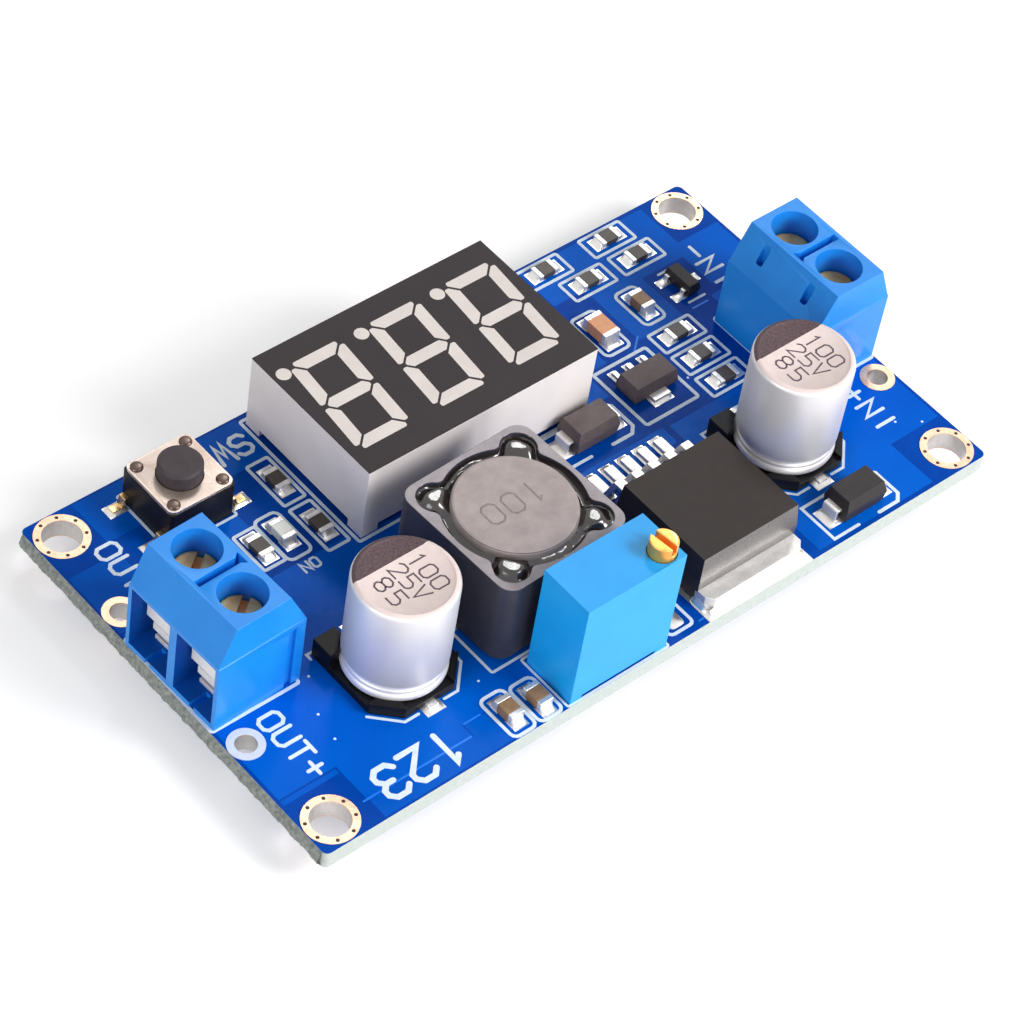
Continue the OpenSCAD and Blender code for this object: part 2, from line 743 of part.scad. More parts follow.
module terminal_housing() {
    dovetail_x = -face_x - 1.2;
    slit_x = -face_x - 0.6 * term_back_slope;
    difference() {
        union() {
            along_y(term_w) polygon(term_outline());
            translate([dovetail_x, term_w / 2, 0])
                block(dovetail_w - 0.1, 2 * (dovetail_depth - 0.04), term_shoulder - 1);
        }
        // The side faces step in above the shoulders
        for (s = [-1, 1])
            translate([0, s * (term_w / 2 + 0.42), term_shoulder])
                block(term_depth + 2 * cut, 1, term_h);
        // Interlocking groove with a slanted end
        translate([dovetail_x, -term_w / 2, 0])
            along_y(2 * dovetail_depth) polygon([
                [-dovetail_w / 2, -cut], [-dovetail_w / 2, term_shoulder - 0.75],
                [dovetail_w / 2, term_shoulder - 0.45], [dovetail_w / 2, -cut]
            ]);
        at_poles() {
            wire_chamber();
            translate([well_x, 0, clamp_top]) cylinder(d = well_d, h = term_h);
            // Notch in the chamber's lip
            translate([face_x + clamp_back / 2, 0, -cut])
                block(clamp_back + 2 * 0.3, 0.5, term_floor + 2 * cut);
            // Passage of the pin
            translate([0, 0, -cut])
                cylinder(d = term_pin_d + 2 * pin_clearance, h = term_floor + 2 * cut);
            // Slit in the back slope
            translate([slit_x, 0, term_h - slit_depth])
                slab(slit_l, slit_w, slit_depth + cut, slit_w / 4);
        }
        top_groove();
    }
}

// The stamped contact of one pole: floor strip, back leg, tapped block and pin
module terminal_contact() {
    leg_t = 0.5;
    difference() {
        union() {
            along_y(contact_w) polygon([
                [clamp_x + 0.5, term_floor], [clamp_end, term_floor], [clamp_end, clamp_top],
                [clamp_end - leg_t, clamp_top], [clamp_end - leg_t, contact_top],
                [clamp_x + 0.5, contact_top]
            ]);
            translate([clamp_x, -clamp_w / 2, clamp_z])
                cube([clamp_end - clamp_x, clamp_w, clamp_block_t]);
            translate([0, 0, pin_tip - board_top])
                cylinder(d = term_pin_d, h = term_floor + contact_t / 2 + board_top - pin_tip);
        }
        translate([well_x, 0, clamp_z - cut])
            cylinder(d = screw_d + 2 * fit, h = clamp_block_t + 2 * cut);
    }
}

// The strip that the screw presses on the wire, with a lip at its front
module wire_guard() {
    front = clamp_x + 0.12;
    back = clamp_end - 1.1;
    difference() {
        along_y(guard_w) polygon([
            [front, guard_z - guard_lip], [front, guard_z + guard_t],
            [back, guard_z + guard_t], [back, guard_z], [front + 0.25, guard_z],
            [front + 0.25, guard_z - guard_lip]
        ]);
        translate([well_x, 0, guard_z - cut])
            cylinder(d = pilot_d + 2 * fit, h = guard_t + 2 * cut);
    }
}

module clamp_screw() {
    shank_z = guard_z + guard_t + 0.04;
    translate([well_x, 0, 0]) difference() {
        union() {
            translate([0, 0, screw_head_z]) rotate_extrude() polygon(concat(
                [[0, 0], [screw_head_d / 2, 0]],
                arc([screw_head_d / 2 - 0.3, screw_head_h - 0.3], 0.3, 0, 90, 4),
                [[0, screw_head_h]]
            ));
            translate([0, 0, shank_z]) cylinder(d = screw_d, h = screw_head_z - shank_z);
            translate([0, 0, guard_z + 0.05]) cylinder(d = pilot_d, h = shank_z - guard_z);
        }
        rotate(35) translate([0, 0, screw_head_top - screw_slot_depth])
            block(screw_head_d + cut, screw_slot_w, screw_slot_depth + cut);
    }
}

module output_terminal_housing()
    color([0.25, 0.62, 0.98]) at_output_terminal() terminal_housing();

module output_terminal_contacts()
    color([0.86, 0.86, 0.86]) at_output_terminal() at_poles() terminal_contact();

module output_guard_plus()
    color([0.8, 0.8, 0.8]) at_output_terminal() at_pole(-1) wire_guard();

module output_guard_minus()
    color([0.8, 0.8, 0.8]) at_output_terminal() at_pole(1) wire_guard();

module output_screw_plus()
    color([0.8, 0.62, 0.3]) at_output_terminal() at_pole(-1) clamp_screw();

module output_screw_minus()
    color([0.8, 0.62, 0.3]) at_output_terminal() at_pole(1) clamp_screw();

module input_terminal_housing()
    color([0.25, 0.62, 0.98]) at_input_terminal() terminal_housing();

module input_terminal_contacts()
    color([0.86, 0.86, 0.86]) at_input_terminal() at_poles() terminal_contact();

module input_guard_plus()
    color([0.8, 0.8, 0.8]) at_input_terminal() at_pole(-1) wire_guard();

module input_guard_minus()
    color([0.8, 0.8, 0.8]) at_input_terminal() at_pole(1) wire_guard();

module input_screw_plus()
    color([0.8, 0.62, 0.3]) at_input_terminal() at_pole(-1) clamp_screw();

module input_screw_minus()
    color([0.8, 0.62, 0.3]) at_input_terminal() at_pole(1) clamp_screw();

// Readout ------------------------------------------------------------------

// A point of a digit, leaned over by the digit's slant
function slanted(points) = [for (p = points) [p[0] + tan(digit_slant) * p[1], p[1]]];

// The middle segment, with a blunt point at both ends
module middle_segment() {
    h = segment_w / 2;
    x = digit_w / 2;
    tip = segment_gap / 2;
    polygon(slanted([
        [-x, -tip], [-x, tip], [tip + h - x - segment_gap, h], [x + segment_gap - h - tip, h],
        [x, tip], [x, -tip], [x + segment_gap - h - tip, -h], [tip + h - x - segment_gap, -h]
    ]));
}

// The top or bottom segment: mitred ends, and outer corners cut blunt
module edge_segment(side) {
    h = segment_w / 2;
    inner = digit_w / 2 - segment_mitre;
    outer = digit_w / 2 + segment_corner / 2;
    y = side * digit_h / 2;
    polygon(slanted([
        [-inner, y - side * h], [-outer, y - side * (h + inner - outer)],
        [-outer, y + side * (h - segment_corner)], [segment_corner - outer, y + side * h],
        [outer - segment_corner, y + side * h], [outer, y + side * (h - segment_corner)],
        [outer, y - side * (h + inner - outer)], [inner, y - side * h]
    ]));
}

// An upright segment between two heights: mitred inside, blunt outside
module upright(side, low, high) {
    inner = side * (digit_w / 2 - segment_w / 2);
    outer = side * (digit_w / 2 + segment_w / 2);
    mitre = side * segment_mitre;
    corner = side * segment_corner;
    polygon(slanted([
        [inner, low + segment_mitre], [inner + mitre, low], [outer - corner, low],
        [outer, low + segment_corner], [outer, high - segment_corner], [outer - corner, high],
        [inner + mitre, high], [inner, high - segment_mitre]
    ]));
}

module digit() {
    low = 1.15 * segment_gap;
    high = digit_h / 2;
    middle_segment();
    for (side = [-1, 1]) {
        edge_segment(side);
        upright(side, low, high);
        upright(side, -high, -low);
    }
}

module point()
    translate([-digit_w / 2 - 0.75 * segment_w, digit_h / 2]) circle(d = point_d);

// All segments and points, offset to sit on the face
module face_marks()
    for (i = [0:digits - 1])
        translate([(i - (digits - 1) / 2) * digit_pitch, 0]) {
            digit();
            point();
        }

module readout_case()
    color([0.86, 0.85, 0.83])
    at_readout() difference() {
        block(disp_l, disp_w, disp_case_h);
        translate([0, 0, -cut])
            block(disp_l - 2 * disp_wall, disp_w - 2 * disp_wall, substrate_z + cut);
        translate([0, 0, -cut])
            block(disp_l - 2 * disp_foot_l, disp_w + 2 * cut, disp_foot_h + cut);
        translate([0, 0, -cut])
            block(disp_l + 2 * cut, disp_w - 2 * disp_foot_l, disp_foot_h + cut);
        translate([0, 0, substrate_z - cut]) linear_extrude(disp_h) face_marks();
    }

module readout_film()
    color([0.3, 0.27, 0.28])
    at_readout() translate([0, 0, disp_case_h]) difference() {
        block(disp_l, disp_w, film_t);
        translate([0, 0, -cut]) linear_extrude(film_t + 2 * cut) face_marks();
    }

module readout_segments()
    color([0.9, 0.88, 0.85])
    at_readout() translate([0, 0, substrate_z])
        linear_extrude(disp_h - substrate_z) face_marks();

module readout_substrate()
    color([0.75, 0.78, 0.7])
    at_readout() translate([0, 0, disp_void_h]) difference() {
        block(disp_l - 2 * disp_wall, disp_w - 2 * disp_wall, substrate_t);
        at_readout_pins() translate([0, 0, -cut])
            cylinder(d = disp_pin_d, h = substrate_t - 0.2 + cut);
    }

module readout_pins()
    color([0.85, 0.85, 0.85])
    at_readout() at_readout_pins() translate([0, 0, pin_tip - board_top])
        cylinder(d = disp_pin_d, h = board_top - pin_tip + disp_void_h + substrate_t - 0.2);

// Inductor -----------------------------------------------------------------

// The quarter of the opening around a pocket: fillet, pocket, fillet and a piece of the bore
function opening_quarter(turn) =
    let (
        r = ind_bore_d / 2, f = ind_pocket_fillet, far = r + f, near = ind_pocket_r + f,
        out = ind_pocket_out,
        a = acos((far * far + out * out - near * near) / (2 * out * far)),
        b = 180 - acos((near * near + out * out - far * far) / (2 * out * near)),
        pocket = out * [cos(turn), sin(turn)]
    )
    concat(
        arc(far * [cos(turn - a), sin(turn - a)], f, turn - a + 180, turn - b + 180, 5),
        arc(pocket, ind_pocket_r, turn - b, turn + b, 14),
        arc(far * [cos(turn + a), sin(turn + a)], f, turn + b + 180, turn + a + 180, 5),
        arc([0, 0], r, turn + a + 4, turn + 86 - a, 9)
    );

module lobed_opening(h)
    linear_extrude(h) polygon([for (k = [0:3]) each opening_quarter(45 + 90 * k)]);

module inductor_shield()
    color([0.4, 0.39, 0.4])
    at_inductor() translate([0, 0, ind_strip_t]) difference() {
        slab(ind_side, ind_side, ind_shield_h, ind_corner_r);
        translate([0, 0, -cut]) lobed_opening(ind_shield_h + 2 * cut);
    }

module inductor_drum()
    color([0.6, 0.58, 0.57])
    at_inductor() rotate_extrude() polygon([
        [0, ind_strip_t], [drum_d / 2, ind_strip_t], [drum_d / 2, ind_strip_t + drum_flange_t],
        [drum_post_d / 2, ind_strip_t + drum_flange_t],
        [drum_post_d / 2, drum_top - drum_flange_t], [drum_d / 2, drum_top - drum_flange_t],
        [drum_d / 2, drum_top - 0.15], [drum_d / 2 - 0.15, drum_top], [0, drum_top]
    ]);

module inductor_winding()
    color([0.72, 0.4, 0.2])
    at_inductor() translate([0, 0, ind_strip_t + drum_flange_t]) difference() {
        h = drum_top - ind_strip_t - 2 * drum_flange_t;
        cylinder(d = drum_d - 0.5, h = h);
        translate([0, 0, -cut]) cylinder(d = drum_post_d, h = h + 2 * cut);
    }

module inductor_adhesive()
    color([0.13, 0.1, 0.1])
    at_inductor() translate([0, 0, ind_top - glue_below - glue_t]) difference() {
        lobed_opening(glue_t);
        translate([0, 0, -cut]) cylinder(d = drum_d, h = glue_t + 2 * cut);
    }

// Two strips under the shield, each with a tongue that folds up at the side
module inductor_strips()
    color([0.82, 0.82, 0.84])
    at_inductor() at_ends(ind_side) union() {
        translate([-ind_strip_in, -ind_strip_w / 2, 0])
            cube([ind_strip_in + ind_strip_t, ind_strip_w, ind_strip_t]);
        translate([0, -ind_strip_w / 2, 0]) cube([ind_strip_t, ind_strip_w, ind_strip_up]);
    }

// Electrolytic capacitors ----------------------------------------------------

can_seat = can_base_t;

// The can's section: rolled ring at the foot, groove, and a rounded top edge
function can_section() =
    let (r = can_d / 2, ring = can_ring_h / 2, top = can_top - land_t)
    concat(
        [[0, can_seat], [r - ring, can_seat]],
        arc([r - ring, can_seat + ring], ring, -90, 60, 8),
        arc([r + 0.02, can_seat + can_ring_h + can_groove], can_groove, 240, 120, 6),
        [[r, can_seat + can_ring_h + 2.4 * can_groove]],
        arc([r - can_edge_r, top - can_edge_r], can_edge_r, 0, 90, 6),
        [[r - can_edge_r - 0.15, top - 0.1], [0, top - 0.1]]
    );

module capacitor_can()
    rotate_extrude($fn = 96) polygon(can_section());

module capacitor_base() {
    s = can_base_side / 2;
    c = can_base_chamfer;
    difference() {
        linear_extrude(can_post_h) polygon([
            [-s, s], [s, s], [s, c - s], [s - c, -s], [c - s, -s], [-s, c - s]
        ]);
        translate([0, 0, can_seat]) cylinder(d = can_d + 0.1, h = can_post_h);
        // The front posts are lower than the back ones
        translate([0, -s / 2 - cut, can_low_post_h])
            block(2 * s + 2 * cut, s + 2 * cut, can_post_h);
        // The walls are open in the middle of each side
        for (a = [0, 90]) rotate(a) translate([0, 0, can_seat])
            block(0.52 * can_base_side, can_base_side + 2 * cut, can_post_h);
        // Channels for the leads
        translate([0, 0, -cut])
            block(can_lead_w + 0.2, can_base_side + 2 * cut, can_lead_t + cut);
    }
}
can_lead_t = 0.3;

// Flat leads that run out under the base to the front and the back
module capacitor_leads()
    for (a = [90, 270]) rotate(a)
        translate([1, -can_lead_w / 2, 0])
            cube([can_base_side / 2 - 1 + can_lead_out, can_lead_w, can_lead_t]);

module can_lands()
    for (s = [-1, 1])
        translate([0, s * (can_base_side / 2 - 0.4), 0]) land(can_lead_w + 0.8, 2.6);

module output_capacitor_can() color([0.83, 0.83, 0.86]) at_output_can() capacitor_can();

module output_capacitor_base() color([0.16, 0.15, 0.15]) at_output_can() capacitor_base();

module output_capacitor_leads() color([0.85, 0.85, 0.85]) at_output_can() capacitor_leads();

module input_capacitor_can() color([0.83, 0.83, 0.86]) at_input_can() capacitor_can();

module input_capacitor_base() color([0.16, 0.15, 0.15]) at_input_can() capacitor_base();

module input_capacitor_leads() color([0.85, 0.85, 0.85]) at_input_can() capacitor_leads();

// Switching regulator ----------------------------------------------------------

// The tab lies under the body and reaches out in front of it, with cut corners
module tab_plan() {
    x = reg_w / 2 - 0.05;
    front = -reg_d / 2 - reg_tab_out;
    polygon([
        [-x, front + reg_tab_cut], [reg_tab_cut - x, front], [x - reg_tab_cut, front],
        [x, front + reg_tab_cut], [x, -reg_d / 2 + 0.3], [x - 1.4, -reg_d / 2 + 0.3],
        [x - 1.4, reg_d / 2 - 1.6], [1.4 - x, reg_d / 2 - 1.6], [1.4 - x, -reg_d / 2 + 0.3],
        [-x, -reg_d / 2 + 0.3]
    ]);
}

module regulator_tab()
    color([0.85, 0.84, 0.83])
    at_regulator() linear_extrude(reg_tab_t) tab_plan();

module regulator_body()
    color([0.24, 0.23, 0.22])
    at_regulator() difference() {
        moulded_body([reg_w, reg_d, reg_h], reg_h / 2, reg_draft);
        translate([0, 0, -cut]) linear_extrude(reg_tab_t + cut) tab_plan();
    }

module regulator_leads()
    color([0.86, 0.86, 0.86])
    at_regulator() at_regulator_leads()
        bent_lead(reg_lead_w, reg_lead_t, reg_h / 2, 1.5, 2.3, reg_lead_reach);

// Multi-turn trimmer ---------------------------------------------------------------

module trimmer_housing()
    color([0.25, 0.62, 0.98])
    at_trimmer() difference() {
        block(trim_l, trim_w, trim_h);
        // The underside stands on a foot at each end
        translate([0, 0, -cut]) block(trim_l - 2.2, trim_w + 2 * cut, trim_foot_h + cut);
        translate([trim_screw_x, trim_screw_y, trim_h - trim_screw_seat])
            cylinder(d = trim_screw_d + 2 * fit, h = trim_screw_seat + cut);
        translate([trim_screw_x, trim_screw_y, trim_h - trim_screw_seat - trim_shaft_l - fit])
            cylinder(d = trim_shaft_d + 2 * fit, h = trim_shaft_l + cut);
        at_trimmer_pins() translate([0, 0, -cut])
            cylinder(d = trim_pin_d, h = trim_foot_h + 1 + cut);
    }

module trimmer_screw()
    color([0.95, 0.66, 0.25])
    at_trimmer() translate([trim_screw_x, trim_screw_y, trim_h]) difference() {
        union() {
            translate([0, 0, fit - trim_screw_seat])
                cylinder(d = trim_screw_d, h = trim_screw_seat + trim_screw_out - fit);
            translate([0, 0, -trim_screw_seat - trim_shaft_l + fit])
                cylinder(d = trim_shaft_d, h = trim_shaft_l + fit);
        }
        rotate(trim_slot_angle) translate([0, 0, trim_screw_out - 0.85])
            block(trim_screw_d + cut, 0.5, 0.85 + cut);
    }

module trimmer_pins()
    color([0.85, 0.85, 0.85])
    at_trimmer() at_trimmer_pins() translate([0, 0, pin_tip - board_top])
        cylinder(d = trim_pin_d, h = board_top - pin_tip + trim_foot_h + 1);

// Push button -------------------------------------------------------------------------

key_cover_z = key_h - key_cover_t;
key_dome_z = 0.9;
key_dome_h = 0.5;
key_flange_d = key_plunger_d + 2 * key_flange;
key_flange_t = 0.5;

module button_base()
    color([0.14, 0.13, 0.13])
    at_button() difference() {
        union() {
            slab(key_side, key_side, key_cover_z, 0.35);
            // Posts through the cover, spread into heads
            at_rivets() {
                cylinder(d = key_rivet_d, h = key_h);
                translate([0, 0, key_h]) rotate_extrude() polygon(concat(
                    [[0, 0], [key_rivet_d / 2 + 0.12, 0]],
                    arc([key_rivet_d / 2 - 0.08, 0], 0.2, 0, 90, 4),
                    [[0, 0.2]]
                ));
            }
        }
        translate([0, 0, key_dome_z]) cylinder(d = key_flange_d + 0.2, h = key_h);
    }

module button_cover()
    color([0.78, 0.7, 0.62])
    at_button() translate([0, 0, key_cover_z]) difference() {
        slab(key_side - 0.1, key_side - 0.1, key_cover_t, 0.6);
        translate([0, 0, -cut]) {
            cylinder(d = key_plunger_d + 2 * fit, h = key_cover_t + 2 * cut);
            at_rivets() cylinder(d = key_rivet_d, h = key_cover_t + 2 * cut);
        }
    }

module button_plunger()
    color([0.2, 0.18, 0.18])
    at_button() rotate_extrude() polygon([
        [0, key_dome_z + key_dome_h], [0.7, key_dome_z + key_dome_h],
        [0.9, key_cover_z - key_flange_t - 0.08], [key_flange_d / 2, key_cover_z - key_flange_t - 0.08],
        [key_flange_d / 2, key_cover_z - 0.08], [key_plunger_d / 2, key_cover_z - 0.08],
        [key_plunger_d / 2, key_top - land_t - 0.2], [key_plunger_d / 2 - 0.2, key_top - land_t],
        [0, key_top - land_t]
    ]);

// The snap dome, a thin cap that flattens as the plunger comes down
module button_dome()
    color([0.8, 0.8, 0.8])
    at_button() translate([0, 0, key_dome_z]) rotate_extrude() polygon([
        [0, key_dome_h - 0.12], [0.9, 0.3], [1.6, 0.1], [1.75, 0], [1.95, 0], [1.7, 0.22],
        [1, 0.4], [0.4, key_dome_h], [0, key_dome_h]
    ]);

module button_terminals()
    color([0.9, 0.82, 0.62])
    at_button() at_button_terminals()
        bent_lead(key_lead_w, 0.25, 0.9, 0.35, 0.6, key_lead_reach);

// Diodes --------------------------------------------------------------------------------

module diode_body()
    translate([0, 0, 0.1])
        moulded_body([diode_size[0], diode_size[1], diode_size[2] - 0.1],
                     diode_size[2] / 2, 0.25);

// Flat terminals that leave the body half way up and fold in under it
module diode_leads()
    at_ends(diode_size[0]) along_y(diode_lead_w) {
        t = 0.2;
        mid = 0.1 + diode_size[2] / 2;
        polygon([
            [0, mid - t / 2], [0.25, mid - t / 2], [0.4, mid - t], [0.4, t], [0.1, t],
            [0.1, 0], [0.6, 0], [0.6, mid], [0.5, mid + t / 2], [0, mid + t / 2]
        ]);
    }

module input_diode_body()
    color([0.2, 0.19, 0.19])
    translate([input_diode_at[0], input_diode_at[1], seat]) diode_body();

module input_diode_leads()
    color([0.85, 0.85, 0.85])
    translate([input_diode_at[0], input_diode_at[1], seat]) diode_leads();

module catch_diode_body()
    color([0.24, 0.22, 0.22])
    translate([catch_diode_at[0], catch_diode_at[1], seat]) diode_body();

module catch_diode_leads()
    color([0.85, 0.85, 0.85])
    translate([catch_diode_at[0], catch_diode_at[1], seat]) diode_leads();

// Linear regulator, transistor and controller ---------------------------------------------

ldo_lead_t = 0.4;

module linear_regulator_body()
    color([0.26, 0.24, 0.24])
    translate([ldo_at[0], ldo_at[1], seat]) difference() {
        moulded_body(ldo_size, ldo_lead_t, 0.2);
        translate([0, 0, -cut]) block(1.7, ldo_size[1] + 2 * cut, ldo_lead_t + cut);
    }

// Three flat leads behind; the middle one runs through to the tab in front
module linear_regulator_leads()
    color([0.85, 0.85, 0.85])
    translate([ldo_at[0], ldo_at[1], seat]) {
        back = ldo_size[1] / 2;
        linear_extrude(ldo_lead_t) polygon([
            [-0.85, -back - 0.7], [0.85, -back - 0.7], [0.85, back], [0.25, back],
            [0.25, back + 1], [-0.25, back + 1], [-0.25, back], [-0.85, back]
        ]);
        for (s = [-1, 1]) translate([s * ldo_pitch, back + 0.5, 0]) block(0.42, 1, ldo_lead_t);
    }

module transistor_body()
    color([0.16, 0.15, 0.14])
    translate([sot_at[0], sot_at[1], seat + 0.05])
        moulded_body([sot_size[0], sot_size[1], sot_size[2]], sot_size[2] / 2, 0.12);

module transistor_leads()
    color([0.85, 0.85, 0.85])
    translate([sot_at[0], sot_at[1], seat]) {
        x = sot_size[0] / 2;
        for (s = [-1, 1]) translate([-x, s * sot_pitch / 2, 0]) rotate(90)
            bent_lead(0.42, 0.14, 0.05 + sot_size[2] / 2, 0.2, 0.3, 0.6);
        translate([x, 0, 0]) rotate(-90)
            bent_lead(0.42, 0.14, 0.05 + sot_size[2] / 2, 0.2, 0.3, 0.6);
    }

module at_controller_leads()
    for (a = [0, 180], i = [0:mcu_side_leads - 1])
        rotate(a) translate([(i - (mcu_side_leads - 1) / 2) * mcu_pitch, mcu_size[1] / 2, 0])
            children();

module controller_body()
    color([0.16, 0.16, 0.16])
    translate([disp_x, disp_y, seat + 0.1])
        moulded_body(mcu_size, mcu_size[2] / 2, 0.1);

module controller_leads()
    color([0.85, 0.85, 0.85])
    translate([disp_x, disp_y, seat]) at_controller_leads()
        bent_lead(0.24, 0.12, 0.1 + mcu_size[2] / 2, 0.25, 0.4, 1);

// Chip parts ---------------------------------------------------------------------------------

// The middle of a chip part between its metal ends
module chip_middle(size)
    block(size[0] - 2 * chip_end, size[1], size[2]);

module chip_end_caps(size)
    at_ends(size[0]) translate([-chip_end / 2, 0, 0]) block(chip_end, size[1], size[2]);

module chip_resistors()
    color([0.3, 0.3, 0.28]) at_chips(resistors) chip_middle(resistor_size);

module ceramic_capacitors()
    color([0.62, 0.52, 0.42]) at_chips(ceramics) chip_middle(ceramic_size);

module filter_capacitor()
    color([0.95, 0.7, 0.5])
    at_chips([[filter_at[0], filter_at[1], 90]]) chip_middle(filter_size);

module indicator_lamp()
    color([0.96, 0.96, 0.93])
    at_chips([[indicator_at[0], indicator_at[1], 90]]) chip_middle(indicator_size);

module chip_ends()
    color([0.86, 0.86, 0.85]) {
        at_chips(resistors) chip_end_caps(resistor_size);
        at_chips(ceramics) chip_end_caps(ceramic_size);
        at_chips([[filter_at[0], filter_at[1], 90]]) chip_end_caps(filter_size);
        at_chips([[indicator_at[0], indicator_at[1], 90]]) chip_end_caps(indicator_size);
    }

// Nodes ----------------------------------------------------------------------------------------

circuit_board();
mounting_rings();
wire_rings();
solder_lands();
solder_cones();
output_terminal_housing();
output_terminal_contacts();
output_guard_plus();
output_guard_minus();
output_screw_plus();
output_screw_minus();
input_terminal_housing();
input_terminal_contacts();
input_guard_plus();
input_guard_minus();
input_screw_plus();
input_screw_minus();
readout_case();
readout_film();
readout_segments();
readout_substrate();
readout_pins();
inductor_shield();
inductor_drum();
inductor_winding();
inductor_adhesive();
inductor_strips();
output_capacitor_can();
output_capacitor_base();
output_capacitor_leads();
input_capacitor_can();
input_capacitor_base();
input_capacitor_leads();
regulator_body();
regulator_tab();
regulator_leads();
trimmer_housing();
trimmer_screw();
trimmer_pins();
button_base();
button_cover();
button_plunger();
button_dome();
button_terminals();
input_diode_body();
input_diode_leads();
catch_diode_body();
catch_diode_leads();
linear_regulator_body();
linear_regulator_leads();
transistor_body();
transistor_leads();
controller_body();
controller_leads();
chip_resistors();
ceramic_capacitors();
filter_capacitor();
indicator_lamp();
chip_ends();
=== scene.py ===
import bmesh
import bpy
import json
import math
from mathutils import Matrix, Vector, geometry, noise


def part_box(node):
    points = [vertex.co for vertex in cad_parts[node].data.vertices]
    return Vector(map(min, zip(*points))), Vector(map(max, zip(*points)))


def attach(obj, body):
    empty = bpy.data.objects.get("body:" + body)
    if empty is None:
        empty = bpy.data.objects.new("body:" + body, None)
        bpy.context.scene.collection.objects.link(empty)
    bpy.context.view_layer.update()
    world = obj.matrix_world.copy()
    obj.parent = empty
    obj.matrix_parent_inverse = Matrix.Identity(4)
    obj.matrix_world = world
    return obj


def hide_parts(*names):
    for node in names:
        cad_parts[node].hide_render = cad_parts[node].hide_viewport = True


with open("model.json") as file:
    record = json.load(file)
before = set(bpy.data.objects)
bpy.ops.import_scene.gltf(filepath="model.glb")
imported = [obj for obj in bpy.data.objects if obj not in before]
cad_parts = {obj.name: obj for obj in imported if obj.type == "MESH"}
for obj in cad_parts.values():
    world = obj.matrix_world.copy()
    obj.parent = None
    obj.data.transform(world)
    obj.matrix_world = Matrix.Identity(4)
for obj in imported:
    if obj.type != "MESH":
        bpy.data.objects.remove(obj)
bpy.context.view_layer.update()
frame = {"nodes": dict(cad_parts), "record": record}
scene = bpy.context.scene
nodes = frame["nodes"]
body_of = {n: b for b, names in frame["record"]["behaviour"]["bodies"].items() for n in names}
mm = 0.001
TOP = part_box("circuit_board")[1][2]
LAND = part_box("solder_lands")[1][2]


# Camera and framing ---------------------------------------------------------

# Solved from the photo's perspective: the lens in mm, the place in metres, the turn in degrees
LENS = 131.256
CAMERA_AT = (-0.14170850, -0.12573231, 0.21052193)
CAMERA_TURN = (41.40366, -6.92188, -40.59742)
CLIP_NEAR, CLIP_FAR = 0.01, 5

cam_data = bpy.data.cameras.new("view")
cam_data.sensor_width = 36
cam_data.lens = LENS
cam_data.clip_start = CLIP_NEAR
cam_data.clip_end = CLIP_FAR
cam = bpy.data.objects.new("view", cam_data)
cam.location = CAMERA_AT
cam.rotation_euler = [math.radians(a) for a in CAMERA_TURN]
scene.collection.objects.link(cam)
scene.camera = cam


# Materials ------------------------------------------------------------------

OTHER_SHADE = 0.86  # of the patches' second colour, where a material doesn't name one
SMOOTHEST = 0.03  # least roughness that a surface may get


def linear(rgb):
    return tuple(c / 12.92 if c <= 0.04045 else ((c + 0.055) / 1.055) ** 2.4 for c in rgb) + (1,)


def c255(r, g, b):
    return linear((r / 255, g / 255, b / 255))


def darker(color):
    return tuple(c * OTHER_SHADE for c in color[:3]) + (1,)


